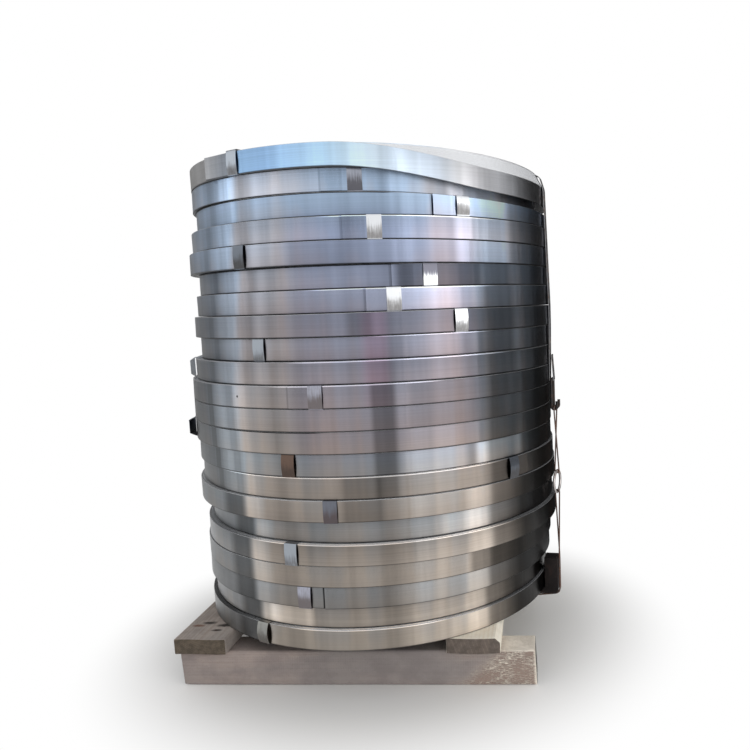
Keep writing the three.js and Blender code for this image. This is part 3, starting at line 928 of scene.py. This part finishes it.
    # Painted shade along the lower edge of each strip, darkening the seam below it.
    shade = times(shade, between(up, 0.0, 0.055, 0.12, 1.0))
    stack_share = sum_up("DIVIDE", layer, len(coils) - 1.0)
    if not on_top:
        for start, full, fading, gone, tone_by_height in painted_light_bands:
            stops = [(share, (tone_by_height[part],) * 3) for share, part in tone_steps]
            tone = minus(tones(stack_share, stops), 1.0)
            tone = times_plus(window(bearing, start, full, fading, gone), tone, 1.0)
            shade = times(shade, tone)
        for number, start, end, tone in painted_light_stretches:
            where = times(window(bearing, start, start + 3, end - 3, end), is_layer(number))
            shade = times(shade, times_plus(where, tone - 1, 1.0))
        for number, start, end, tone in painted_light_rims:
            where = times(window(bearing, start, start + 8, end - 8, end), is_layer(number))
            where = times(where, between(up, 0.95, 0.96))
            shade = sum_up("MAXIMUM", times_plus(where, tone, shade), 0.04)
    shade = times(shade, bared)
    # The outer turn's two ends: one held by the tape, one with a painted shadow beside it.
    share = split(add_node(tree, "UVMap", {}, uv_map="turns")[0])[0]
    held_end = between(share, 0.0155, 0.017, 1.0, 0.0)
    wiped = plus(is_layer(wiped_tails[0]), is_layer(wiped_tails[1]))
    end_tone = times_plus(own, 0.3, times_plus(wiped, 0.25, -0.2))
    shade = times_plus(held_end, end_tone, shade)
    # Painted shadow just before the tail, darkest on the loosest coil.
    grime_and_tail_shadow = between(share, 0.9975, 0.9988)
    grime_and_tail_shadow = times(grime_and_tail_shadow, times_plus(is_layer(loosest_tail), 0.6, 0.3))
    shade = times(shade, minus(1.0, grime_and_tail_shadow))
    colour = blend(1.0, tint, grey_of(shade), "MULTIPLY")
    mark_layer, mark_bearing = oil_mark
    from_mark = {
        0: times_plus(bearing, metres_a_degree, -mark_bearing * metres_a_degree),
        1: times_plus(up, strip_width, -0.5 * strip_width),
        2: minus(layer, mark_layer),
    }
    from_mark = add_node(tree, "CombineXYZ", from_mark)[0]
    off_mark = add_node(tree, "VectorMath", {0: from_mark}, operation="LENGTH")["Value"]
    mark = between(off_mark, *mark_edge, 0.9, 0.0)
    rough = times_plus(own, 0.08, times_plus(haze, 0.12, 0.28))
    wave = times_plus(lines, 0.02, times_plus(round_noise(14.0, 2, 7.3), 0.3, patch))
    feeds = {
        "Base Color": blend(mark, colour, (0.02, 0.02, 0.02, 1)),
        "Metallic": 1.0,
        "Roughness": rough,
        "Anisotropic": 1.0,
        "Tangent": add_node(tree, "CombineXYZ", {2: 1.0})[0],
        "Normal": bumped(wave, 1.0, 1.5 * mm),
    }
    feed(surface, feeds)
    return finish


def slit_edge_steel():
    """The strip's sheared edges turn by turn, each a little brighter or duller, with painted shade.
    """
    finish, surface, place, normal = new_finish("slit_edge_steel")
    tree = finish.node_tree
    across = split(add_node(tree, "UVMap", {}, uv_map="turns")[0])[1]
    count = sum_up("DIVIDE", across, turn)
    number = sum_up("FLOOR", count)
    each = add_node(tree, "TexWhiteNoise", {"W": number}, noise_dimensions="1D")["Value"]
    groups = add_node(tree, "TexNoise", {"W": across, "Scale": 60.0}, noise_dimensions="1D")[0]
    gap = between(sum_up("FRACT", count), 0.0, 0.25)
    shade = times_plus(each, 0.45, times_plus(groups, 0.7, 0.35))
    shade = times(shade, times_plus(gap, 0.65, 0.35))
    # Painted shade: edges facing down are much darker.
    shade = times(shade, between(split(normal)[2], -0.3, 0.0, 0.12, 1.0))
    axes = split(place)
    bearing = bearing_of(axes)
    # Painted shade on the right and left sides below the top and on the lowest coil's ledge; painted
    # light on the top face.
    painted_light_and_shade = plus(between(bearing, 32, 50, 0.0, 0.6), between(bearing, -45, -25, 0.4, 0.0))
    painted_light_and_shade = times(painted_light_and_shade, between(axes[2], *under_top, 1.0, 0.0))
    lowest = times(between(bearing, -30, -12, 0.5, 0.0), between(axes[2], *over_lowest, 1.0, 0.0))
    painted_light_and_shade = plus(painted_light_and_shade, lowest)
    painted_light_and_shade = plus(painted_light_and_shade, between(axes[2], *on_top_face, 0.0, -0.14))
    shade = times(shade, minus(1.0, painted_light_and_shade))
    feeds = {
        "Base Color": blend(1.0, (0.88, 0.90, 0.94, 1), grey_of(shade), "MULTIPLY"),
        "Metallic": 0.35,
        "Roughness": between(each, 0, 1, 0.3, 0.5),
    }
    feed(surface, feeds)
    return finish


finishes = [strip_steel("strip_steel"), slit_edge_steel()]
pieces = []
for index in range(len(coils) - 1):
    number = f"{index + 1:02d}"
    name = "coil_" + number + "_strip"
    piece = lay_coil(name, index, body.data, rings, finishes, body_corners)
    pieces.append((piece, "coil_" + number))

# The top coil has telescoped: its inner turns stand in groups at uneven heights, and its twelve
# outer turns have slid down one past the other on the right-hand side.
slipped = 12
slip_drop = 33 * mm
slip_rest = 0.3 * mm  # the turns lie this much lower all round
slip_reach = 50  # degrees over which they slide down, and over which they rise again
slip_end = 110  # the bearing from which they rise
core = coil_radius - slipped * turn
ledges = ((0.70, 1.5), (0.43, 0.6), (0.36, 2.1), (0.14, 0.0), (0.0, 1.2))
widths, lifts = [], []
depth = 0.0
while depth + 3 * turn < core - bore_radius:
    count = (2, 1, 3, 2, 2, 1)[len(widths) % 6]
    share = 1 - depth / (core - bore_radius)
    lift = next(rise for start, rise in ledges if share > start)
    uneven = 0.35 * (1 + math.sin(len(widths) * 2.7))
    widths.append(count * turn)
    lifts.append((lift - uneven) * mm)
    depth += count * turn
steps = edge_steps(core, widths, lifts)
last = (bore_radius, strip_width + 0.8 * mm)
pack_under = [(core, 49.8 * mm), (core, 0.3 * mm), (core - 2 * mm, 0), (bore_radius, 0), last]
pack = wind_pattern("pack_pattern", pack_under + steps[::-1], full_round)
split_finish(pack.data)
mark_turns(pack.data)


def slide(number, angle):
    """How far down a turn has slid: the outermost most, and only on the right-hand side."""
    bearing = (np.degrees(angle) + 90 + 180) % 360 - 180
    rise = np.clip(bearing / slip_reach, 0, 1)
    fall = np.clip((bearing - slip_end) / slip_reach, 0, 1)
    bowl = rise**2 * (3 - 2 * rise) - fall**2 * (3 - 2 * fall)
    return slip_drop * np.clip(1 - number / slipped, 0, 1) ** 0.9 * bowl + slip_rest


top_finishes = [
    strip_steel("top_strip_steel", on_top=True),
    finishes[1],
    strip_steel("bared_strip_steel", on_top=True, bared=1.6),
]
top = len(coils) - 1
turns = [lay_coil("coil_22_strip", top, pack.data, rings_of(pack.data), top_finishes)]
out, share, up = rings_of(turn_pattern)
for number in range(slipped):
    place = (out - number * turn, share, up)
    slipped_turn = lay_coil("slipped_turn", top, turn_pattern, place, top_finishes, sink=slide)
    if number:
        for face in slipped_turn.data.polygons:
            face.material_index = 2 - face.material_index
    turns.append(slipped_turn)
pieces.append((join_up(turns), "coil_22"))
for piece, node in pieces:
    smooth(piece, 30)
    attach(piece, "root")
    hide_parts(node)
for pattern in (body, pack):
    bpy.data.objects.remove(pattern)

# ---- Bands -----------------------------------------------------------------------------------
# Flat steel strapping is looped through each coil's bore and pulled tight over its edges, once
# where it shows and once at the back. It stands off the face between the edges, and no two bands
# have weathered alike.
band_width = 32 * mm
band_thickness = 0.9 * mm
snug = 0.3 * mm
most_rear_bow = 5 * mm

# Each coil, from the lowest up: the angle and bow of its band, how far the band is twisted so that
# one edge stands out more than the other, its finish, and the angle of the second band.
bands = (
    (-25.75, 6, 0, "olive", 150),
    (-84, 10, 0, "grey", 165),
    (-11, 2, 0, "streaked", 205),
    (-86, 10, 0, "grey", 140),
    (-15.5, 2, 0, "grey", 190),
    (-84, 10, 0, "dark", 160),
    (-2.25, 2, 0, "stained", 215),
    (51.75, 4, 0, "dark", 235),
    (-13.25, 3, 0, "browned", 185),
    (-68, 9, 7, "dark", 150),
    (112, 6, 0, "grey", 225),
    (-4, 2, 0, "streaked", 170),
    (-65.3, 6, -6, "grey", 205),
    (-23.25, 2, 0, "grey", 150),
    (34.5, 3, 0, "pale", 240),
    (16, 2, 0, "pale", 180),
    (25.75, 2, 0, "pale_low", 210),
    (-26.25, 2, 0, "dark", 155),
    (12, 2, 0, "pale", 225),
    (36.25, 3, 0, "pale", 190),
    (9, 1, 0, "shaded", 145),
    (-28.75, 2, 0, "grey", 200),
)


def rounded(corners, bend, steps=3):
    """A path with each inner corner turned into a short bend."""
    path = [corners[0]]
    for before, corner, after in zip(corners, corners[1:], corners[2:]):
        start = corner + (before - corner).normalized() * bend
        end = corner + (after - corner).normalized() * bend
        for i in range(steps + 1):
            t = i / steps
            path.append(start * (1 - t) ** 2 + corner * 2 * t * (1 - t) + end * t * t)
    path.append(corners[-1])
    return path


def face_outward():
    bpy.ops.mesh.select_all(action="SELECT")
    bpy.ops.mesh.normals_make_consistent(inside=False)


def thicken(piece, thickness, side):
    """Gives a sheet its thickness, to one side of it or to both."""
    alone(piece)
    wall = piece.modifiers.new("wall", "SOLIDIFY")
    wall.thickness = thickness
    wall.offset = side
    bpy.ops.object.modifier_apply(modifier="wall")


def lay_strap(name, path, width, thickness, side):
    """A flat strap along a path in the X-Z plane, given its width and then its thickness."""
    strap = draw_outline(name, path)
    bpy.ops.mesh.select_mode(type="EDGE")
    bpy.ops.mesh.select_all(action="SELECT")
    bpy.ops.transform.translate(value=(0, -width / 2, 0))
    bpy.ops.mesh.extrude_edges_move(TRANSFORM_OT_translate={"value": (0, width, 0)})
    face_outward()
    bpy.ops.object.mode_set(mode="OBJECT")
    thicken(strap, thickness, side)
    return strap


def band_finish(name, colour, second, share, shine, matt, below=0.25, above=-0.2):
    """Strapping steel: its colour is broken by streaks along the strap and by stain."""
    finish, surface, place, _ = new_finish(name)
    level = minus(split(place)[2], layer_base(0))
    level = sum_up("FRACT", sum_up("DIVIDE", level, layer_pitch))
    level = between(level, 0.1, 0.8, below, above)
    streaks = speckle(stretched(place, (330, 330, 14)), 1.0, 3, 0.6)
    stain = speckle(place, 55, 4, 0.6)
    mask = plus(times_plus(streaks, 0.6, level), times(stain, 0.4))
    mask = between(mask, 0.62 - share, 1.08 - share)
    feeds = {
        "Base Color": blend(mask, (*colour, 1), (*second, 1)),
        "Metallic": between(mask, 0, 1, 0.95, 0.45),
        "Roughness": between(mask, 0, 1, shine, matt),
        "Normal": bumped(streaks, 0.4, 0.1 * mm),
    }
    feed(surface, feeds)
    return finish


# Each finish: its name, its colour, the colour of its stain, how much is stained, how rough the
# clean and the stained steel are, and how the stain changes from a band's lower to its upper edge.
band_finishes = {
    "pale": ("pale_band", (0.74, 0.76, 0.79), (0.27, 0.265, 0.27), 0.30, 0.32, 0.5),
    "streaked": ("streaked_band", (0.38, 0.39, 0.46), (0.17, 0.15, 0.155), 0.42, 0.3, 0.5),
    "grey": ("grey_band", (0.32, 0.35, 0.39), (0.16, 0.16, 0.17), 0.2, 0.3, 0.5),
    "dark": ("dark_band", (0.13, 0.145, 0.17), (0.06, 0.06, 0.065), 0.3, 0.28, 0.5),
    "shaded": ("shaded_band", (0.34, 0.36, 0.42), (0.11, 0.11, 0.13), 0.36, 0.3, 0.5),
    "browned": ("browned_band", (0.14, 0.095, 0.075), (0.07, 0.045, 0.035), 0.3, 0.4, 0.6),
    "stained": ("stained_band", (0.15, 0.16, 0.19), (0.10, 0.08, 0.085), 0.36, 0.3, 0.6),
    "olive": ("olive_band", (0.26, 0.26, 0.245), (0.13, 0.12, 0.11), 0.34, 0.3, 0.5),
    "pale_low": ("low_pale_band", (0.80, 0.82, 0.85), (0.20, 0.20, 0.25), 0.30, 0.32, 0.5, -0.3, 0.4),
}
band_finishes = {name: band_finish(*values) for name, values in band_finishes.items()}

face_points = 13  # on the stretch of a band that stands off the coil's face
bore_bend = 0.9 * mm
face_bend = 0.8 * mm


def wrap_band(name, index, angle, bow, twist, finish):
    """A band round a coil's wall, outlined flat, then turned to its angle and set in the stack."""
    over = coils[index][0] * mm
    rise = max(lift for start, lift in ledges) * mm if index == top else 0
    inner = bore_radius - band_width**2 / (8 * bore_radius) - snug
    outer = coil_radius + over + snug
    low, high = -snug, strip_width + rise + snug
    face = []
    for i in range(face_points):
        t = i / (face_points - 1)
        face.append(Vector((outer + 4 * bow * t * (1 - t), high + (low - high) * t)))
    start = Vector((inner, strip_width / 2))
    corners = [start, Vector((inner, high)), *face, Vector((inner, low)), start]
    path = rounded(corners[:3], bore_bend)[:-1]
    path += rounded([corners[1], *face[:2]], face_bend)[1:-1]
    path += face[1:-1]
    path += rounded([*face[-2:], corners[-2]], face_bend)[1:-1]
    path += rounded([face[-1], corners[-2], start], bore_bend)[1:]
    band = lay_strap(name, path, band_width, band_thickness, 1)
    for corner in band.data.vertices:
        if twist and corner.co.x > outer + 0.1 * mm:
            t = (corner.co.z - low) / (high - low)
            stand = min(1, 7 * t, 7 * (1 - t))
            corner.co.x += bow * (stand - 4 * t * (1 - t))
            corner.co.x += twist * stand * corner.co.y / (band_width / 2)
    band.data.transform(Matrix.Rotation(math.radians(angle - 90), 4, "Z"))
    for corner in band.data.vertices:
        corner.co.z -= settled(index, corner.co.x + coils[index][1] * mm, corner.co.z)
    band.data.transform(Matrix.Translation(coil_centre(index)))
    band.data.materials.append(band_finishes[finish])
    smooth(band, 40)
    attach(band, "root")
    return band


def room_behind(index, angle):
    """The bow that a band at the back may have and still stay inside the load's outline."""
    out = coil_radius + coils[index][0] * mm + snug + band_thickness
    aim = Vector((math.sin(math.radians(angle)), -math.cos(math.radians(angle)), 0))
    side = Vector((-aim.y, aim.x, 0)) * band_width / 2
    room = 6 * mm
    for corner in (coil_centre(index) + aim * out + side, coil_centre(index) + aim * out - side):
        for axis in (0, 1):
            if abs(aim[axis]) > 0.05:
                limit = cad_box[1][axis] if aim[axis] > 0 else -cad_box[0][axis]
                reach = corner[axis] if aim[axis] > 0 else -corner[axis]
                room = min(room, (limit - reach) / abs(aim[axis]) - 0.5 * mm)
    return room


for index, (angle, bow, twist, finish, rear) in enumerate(bands):
    number = f"{index + 1:02d}"
    band = wrap_band("band_" + number + "_strap", index, angle, bow * mm, twist * mm, finish)
    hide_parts("band_" + number)
    room = room_behind(index, rear)
    if room > 1 * mm:
        spare = ("grey", "dark", "streaked")[index % 3]
        wrap_band("rear_band_" + number, index, rear, min(room, most_rear_bow), 0, spare)

# ---- Lashing ---------------------------------------------------------------------------------
# A steel strap comes up inside the bore, over the top coil and down the right side to a double
# hook. Below it hang a wire link and a ring, and a doubled wire is pulled from the ring round a
# corner block, under the deck board and up the bore to a sleeve that grips strap and wire.
lashing_angle = 81
turn_to_lashing = Matrix.Rotation(math.radians(lashing_angle - 90), 4, "Z")
lash_turn = Matrix.Translation(stack_axis) @ turn_to_lashing
strap_width = 30 * mm
strap_thickness = 1.6 * mm
hook_rod = 8 * mm
wire_diameter = 4 * mm
ring_radius = 29.5 * mm
ring_rod = 7 * mm


def on_lash(across, along, up):
    return lash_turn @ Vector((across * mm, along * mm, up * mm))


def bend_rod(name, points, diameter, closed=False, sides=3):
    """A round rod or wire along a path, made as a curve and turned into a mesh."""
    line = bpy.data.curves.new(name, "CURVE")
    line.dimensions = "3D"
    line.bevel_depth = diameter / 2
    line.bevel_resolution = sides
    line.use_fill_caps = not closed
    run = line.splines.new("POLY")
    run.points.add(len(points) - 1)
    for point, place in zip(run.points, points):
        point.co = (*place, 1)
    run.use_cyclic_u = closed
    rod = bpy.data.objects.new(name, line)
    bpy.context.collection.objects.link(rod)
    alone(rod)
    bpy.ops.object.convert(target="MESH")
    return bpy.context.active_object


def half_turn(across, along, up, radius, tilt=0.0, sign=-1, steps=12):
    """Points half round a rod, from its outer side to its inner side."""
    points = []
    for i in range(steps + 1):
        turned = math.pi * i / steps
        out = radius * math.cos(turned)
        points.append(
            on_lash(
                across + out * math.cos(tilt),
                along - out * math.sin(tilt),
                up + sign * radius * math.sin(turned),
            )
        )
    return points


def finish_lashing(piece, node, finish):
    piece.data.materials.append(finish)
    smooth(piece, 40)
    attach(piece, "root")
    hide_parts(node)


def lashing_finish(name, colour, rust, share, metal=0.9):
    finish, surface, place, _ = new_finish(name)
    spread = speckle(place, 70, 5, 0.65)
    grime_and_tail_shadow = speckle(place, 14, 3, 0.5)
    mask = plus(times(spread, 0.6), times(grime_and_tail_shadow, 0.4))
    mask = between(mask, 0.62 - share, 0.78 - share)
    feeds = {
        "Base Color": blend(mask, (*colour, 1), (*rust, 1)),
        "Metallic": between(mask, 0, 1, metal, 0.1),
        "Roughness": between(mask, 0, 1, 0.36, 0.8),
        "Normal": bumped(spread, 0.5, 0.3 * mm),
    }
    feed(surface, feeds)
    return finish


strap_steel = lashing_finish("lashing_strap_steel", (0.30, 0.30, 0.31), (0.14, 0.09, 0.06), 0.12)
hook_steel = lashing_finish("forged_hook_steel", (0.02, 0.018, 0.018), (0.05, 0.026, 0.018), 0.2, 0.6)
ring_steel = lashing_finish("zinc_ring_steel", (0.48, 0.45, 0.44), (0.22, 0.13, 0.10), 0.14)
wire_steel = lashing_finish("lashing_wire_steel", (0.12, 0.11, 0.11), (0.13, 0.07, 0.05), 0.25)

# Where the strap bends, from the sleeve in the bore to the hook's bar: the distance out from the
# stack's axis, and the height, in millimetres as all the lashing's places are.
strap_corners = (
    (247.81, 586.6),
    (247.81, 1254.2),
    (449.0, 1242.3),
    (478.5, 1228.0),
    (488.4, 1196.0),
    (490.73, 1104.6),
    (496.37, 898.6),
    (496.37, 848.6),
    (493.74, 702.0),
)
strap_bend = 6 * mm
strap_end = (499.93, 768.0)
bar_across, bar_height = 498.84, 702.0
round_bar = 5.1  # from the bar's middle to the strap's
path = rounded([Vector(corner) * mm for corner in strap_corners], strap_bend, 6)
for i in range(1, 13):
    turned = math.pi * i / 12
    across = bar_across - round_bar * math.cos(turned)
    path.append(Vector((across, bar_height - round_bar * math.sin(turned))) * mm)
path.append(Vector(strap_end) * mm)
strap = lay_strap("lashing_strap_run", path, strap_width, strap_thickness, 0)
strap.data.transform(lash_turn)
finish_lashing(strap, "lashing_strap", strap_steel)

leg, hook_bend = 19.3, 7.0
hook_tip, hook_foot, leg_top = 644, 630, 680
bar_bend = 4 * mm
near_side = [on_lash(bar_across + 2 * hook_bend, -leg, hook_tip)]
far_side = [on_lash(bar_across + 2 * hook_bend, leg, hook_tip)]
for i in range(13):
    turned = math.pi * i / 12
    across = bar_across + hook_bend * (1 + math.cos(turned))
    up = hook_foot - hook_bend * math.sin(turned)
    near_side.append(on_lash(across, -leg, up))
    far_side.append(on_lash(across, leg, up))
bar = ((-leg, leg_top), (-leg, bar_height), (leg, bar_height), (leg, leg_top))
bar = [on_lash(bar_across, side, up) for side, up in bar]
hook_path = near_side + rounded(bar, bar_bend, 6)[1:-1] + far_side[::-1]
finish_lashing(bend_rod("double_hook", hook_path, hook_rod), "lashing_hook", hook_steel)

ring_across, ring_height = 506.23, 422.0
ring_turn = 9  # degrees
ring_tilt = math.radians(ring_turn)
ring_top, ring_foot = ring_height + ring_radius / mm, ring_height - ring_radius / mm
round_ring = 5.8  # from the middle of the ring's rod to the wire's
link_across, link_side, link_top = 505.84, 32, 629.3
link_bend = 7 * mm
below_ring_top = half_turn(ring_across, 0, ring_top, round_ring, ring_tilt, -1)
hang = [
    below_ring_top[-1],
    on_lash(link_across, link_side, link_top),
    on_lash(link_across, -link_side, link_top),
    below_ring_top[0],
]
link_path = below_ring_top + rounded(hang, link_bend, 6)[1:-1]
link = bend_rod("wire_link", link_path, wire_diameter, closed=True)
finish_lashing(link, "lashing_link", wire_steel)

bpy.ops.object.select_all(action="DESELECT")
bpy.ops.mesh.primitive_torus_add(
    major_radius=ring_radius,
    minor_radius=ring_rod / 2,
    major_segments=64,
    minor_segments=16,
    location=on_lash(ring_across, 0, ring_height),
    rotation=(math.pi / 2, 0, math.radians(lashing_angle - ring_turn)),
)
ring = bpy.context.active_object
ring.name = "lashing_ring_forged"
bpy.ops.object.transform_apply(location=True, rotation=True, scale=True)
# The ring is a bent rod, welded shut at one side, where it is a little thinner and uneven.
weld = on_lash(ring_across, -ring_radius / mm, ring_height)
weld_reach = 9 * mm
weld_depth = 0.35 * mm
for corner in ring.data.vertices:
    near = (corner.co - weld).length / weld_reach
    if near < 1:
        corner.co -= corner.normal * weld_depth * (1 - near) * (1 + math.sin(near * 14))
finish_lashing(ring, "lashing_ring", ring_steel)


def strand(along):
    """One side of the doubled wire, from the bore's sleeve down and round to the ring."""
    corners = (
        (244.71, 674.6),
        (244.71, 586.6),
        (214.96, 254.6),
        (214.96, 86.0),
        (357.16, 86.0),
        (508.01, 107.0),
        (508.01, 211.3),
    )
    return [on_lash(across, along, up) for across, up in corners]


strand_side = 6
wire_bend = 14 * mm
under_ring = half_turn(ring_across, 0, ring_foot, round_ring, ring_tilt, 1)
near_strand = rounded([*strand(-strand_side), under_ring[0]], wire_bend, 6)
far_strand = rounded([*strand(strand_side), under_ring[-1]], wire_bend, 6)
wire_path = near_strand[:-1] + under_ring + far_strand[::-1][1:]
wire = bend_rod("doubled_wire", wire_path, wire_diameter)
finish_lashing(wire, "lashing_wire", wire_steel)

# The corner block is a moulded rubber angle that keeps the wire off the lowest coils.
block_width = 46 * mm
block_corners = (
    (417.71, 109.3),
    (491.7, 109.3),
    (498.7, 111.1),
    (503.9, 116.3),
    (505.71, 123.3),
    (505.71, 207.3),
    (501.71, 211.3),
    (468.71, 211.3),
    (468.71, 127.3),
    (417.71, 127.3),
    (417.71, 109.3),
)
block = draw_outline("corner_block", [Vector(corner) * mm for corner in block_corners])
bpy.ops.mesh.select_all(action="SELECT")
bpy.ops.transform.translate(value=(0, -block_width / 2, 0))
bpy.ops.mesh.edge_face_add()
bpy.ops.mesh.extrude_region_move(TRANSFORM_OT_translate={"value": (0, block_width, 0)})
face_outward()
pick_edges(block, lambda a, b: abs(a.y - b.y) < 1e-6)
bpy.ops.mesh.bevel(offset=1.5 * mm, segments=2, affect="EDGES")
bpy.ops.object.mode_set(mode="OBJECT")
block.data.transform(lash_turn)
rubber, surface, place, _ = new_finish("block_rubber")
dust = between(speckle(place, 34, 5, 0.65), 0.42, 0.7)
feeds = {
    "Base Color": blend(dust, (0.010, 0.008, 0.008, 1), (0.032, 0.022, 0.02, 1)),
    "Roughness": between(dust, 0, 1, 0.55, 0.85),
    "Normal": bumped(speckle(place, 900, 3, 0.6), 0.5, 0.3 * mm),
    "Specular IOR Level": 0.15,
}
feed(surface, feeds)
finish_lashing(block, "lashing_pad", rubber)

# The sleeve is a steel seal closed round strap and wire and crimped across in three places.
sleeve_place = (245.66 * mm, 0, 630.6 * mm)
sleeve_size = (8.9 * mm, 33 * mm, 44 * mm)
sleeve_wall = 1.2 * mm
sleeve_bend = 1.2 * mm
crimps = 3
crimp_share = 0.03
bpy.ops.object.select_all(action="DESELECT")
bpy.ops.mesh.primitive_cube_add(size=1, location=sleeve_place, scale=sleeve_size)
sleeve = bpy.context.active_object
sleeve.name = "lashing_sleeve"
bpy.ops.object.transform_apply(location=True, rotation=False, scale=True)
bpy.ops.object.mode_set(mode="EDIT")
pick_edges(sleeve, lambda a, b: abs(a.z - b.z) > 20 * mm)
bpy.ops.mesh.bevel(offset=sleeve_bend, segments=3, affect="EDGES")
pick_edges(sleeve, lambda a, b: abs(a.z - b.z) > 20 * mm)
bpy.ops.mesh.subdivide(number_cuts=23)
pick_faces(sleeve, lambda normal: abs(normal.z) > 0.9)
bpy.ops.mesh.delete(type="FACE")
bpy.ops.object.mode_set(mode="OBJECT")
for corner in sleeve.data.vertices:
    along = (corner.co.z - sleeve_place[2]) / sleeve_size[2]
    crimp = math.cos(along * 2 * crimps * math.pi)
    corner.co.y *= 1 - crimp_share * max(0, crimp)
thicken(sleeve, sleeve_wall, -1)
sleeve.data.transform(lash_turn)
finish_lashing(sleeve, "lashing_seal", strap_steel)

# ---- Studio ----------------------------------------------------------------------------------
# A plain pale floor under a white surround, with one broad soft lamp to the right of the camera
# and a narrower one to the left. Grey screens to the sides and behind show in the steel only.
bpy.ops.object.select_all(action="DESELECT")
bpy.ops.mesh.primitive_circle_add(vertices=96, radius=14, fill_type="NGON", location=(0, 0, 0))
floor = bpy.context.active_object
floor.name = "studio_floor"
paper, surface, place, _ = new_finish("floor_paper")
tree = paper.node_tree
far = add_node(tree, "VectorMath", {0: place}, operation="LENGTH")["Value"]
feeds = {"Base Color": (0.90, 0.895, 0.885, 1), "Roughness": 0.9, "Specular IOR Level": 0.1}
feed(surface, feeds)
white = add_node(tree, "Emission", {"Color": (1, 1, 1, 1), "Strength": 1.0})[0]
path = add_node(tree, "LightPath", {})
mirrored = sum_up("MAXIMUM", path["Is Glossy Ray"], path["Is Transmission Ray"])
mirrored = times(mirrored, between(far, 0.45, 0.7))
seen = times(path["Is Camera Ray"], between(far, 0.47, 0.85))
share = sum_up("MAXIMUM", mirrored, seen)
mixed = add_node(tree, "MixShader", {0: share, 1: surface.outputs[0], 2: white})[0]
feed(tree.nodes["Material Output"], {"Surface": mixed})
floor.data.materials.append(paper)

surround = bpy.data.worlds.new("surround")
bpy.context.scene.world = surround
surround.use_nodes = True
tree = surround.node_tree
path = add_node(tree, "LightPath", {})
seen = sum_up("MAXIMUM", path["Is Camera Ray"], path["Is Glossy Ray"])
seen = sum_up("MAXIMUM", seen, path["Is Transmission Ray"])
level = between(seen, 0, 1, 0.62, 1.0)
feed(tree.nodes["Background"], {"Color": (1, 1, 1, 1), "Strength": level})


def soft_lamp(name, azimuth, distance, height, width, tall, power, colour):
    aim = Vector((math.sin(math.radians(azimuth)), -math.cos(math.radians(azimuth)), 0))
    lamp = bpy.data.lights.new(name, "AREA")
    lamp.shape = "RECTANGLE"
    lamp.size, lamp.size_y = width, tall
    lamp.energy = power
    lamp.color = colour
    stand = bpy.data.objects.new(name, lamp)
    stand.location = aim * distance + Vector((0, 0, height))
    target = Vector((0, 0, 0.7))
    stand.rotation_euler = (target - stand.location).to_track_quat("-Z", "Y").to_euler()
    bpy.context.collection.objects.link(stand)


# Each lamp: the bearing it stands at, its distance and height, its width and how tall it is, its
# power in watts, and its colour.
soft_lamp("broad_lamp", 49, 3.6, 1.25, 2.9, 2.5, 44, (1.0, 0.98, 0.95))
soft_lamp("side_lamp", -76, 3.4, 1.3, 0.5, 2.4, 5, (0.95, 0.98, 1.0))
screen_out = 3.1
screen_rise = 0.02  # the foot's height over the floor


def side_screen(name, start, end, tone, tall=2.7, foot=3.09):
    """A curved grey screen and its foot on the floor, which only polished surfaces see."""
    outline = [(foot, screen_rise), (screen_out, screen_rise), (screen_out, tall)]
    screen = draw_outline(name, outline)
    bpy.ops.mesh.select_mode(type="EDGE")
    bpy.ops.mesh.select_all(action="SELECT")
    sweep = math.radians(end - start)
    bpy.ops.mesh.spin(steps=24, angle=-sweep, center=(0, 0, 0), axis=(0, 0, 1))
    bpy.ops.object.mode_set(mode="OBJECT")
    screen.data.transform(Matrix.Rotation(math.radians(start - 90), 4, "Z"))
    cloth, surface, _, _ = new_finish(name + "_cloth")
    feeds = {"Base Color": (tone, tone, tone, 1), "Roughness": 1.0, "Specular IOR Level": 0.0}
    feed(surface, feeds)
    screen.data.materials.append(cloth)
    screen.visible_camera = False
    screen.visible_diffuse = False
    screen.visible_shadow = False


# Each screen: the bearings it reaches between, how light it is, its height, and how near its foot
# comes to the load.
side_screen("near_screen", 79, 108, 0.56)
side_screen("grey_screen", 108, 122, 0.22, 3.4, 0.9)
side_screen("dark_screen", 122, 178, 0.05, 3.4, 0.9)
side_screen("left_screen", -98, -87, 0.75, 1.9)
side_screen("far_left_screen", -178, -98, 0.52, 1.9)

camera = bpy.data.cameras.new("camera")
camera.sensor_width = 36
camera.lens = 35.09
camera.shift_x = -0.1533
camera.shift_y = 0.0267
camera.clip_start, camera.clip_end = 0.05, 100
eye = bpy.data.objects.new("camera", camera)
eye_place = Vector((0.45409, -2.03276, 0.90936))  # from the stack's axis
pitch, yaw, roll = (math.radians(angle) for angle in (-7.1742, 3.7958, -1.9475))
aim = Vector((-math.sin(yaw) * math.cos(pitch), math.cos(yaw) * math.cos(pitch), math.sin(pitch)))
level = Vector((math.cos(yaw), math.sin(yaw), 0))
over = level.cross(aim)
right = level * math.cos(roll) + over * math.sin(roll)
up = over * math.cos(roll) - level * math.sin(roll)
turned = Matrix((right, up, -aim)).transposed().to_4x4()
eye.matrix_world = Matrix.Translation(stack_axis + eye_place) @ turned
bpy.context.collection.objects.link(eye)
bpy.context.scene.camera = eye
bpy.context.scene.view_settings.view_transform = "Standard"
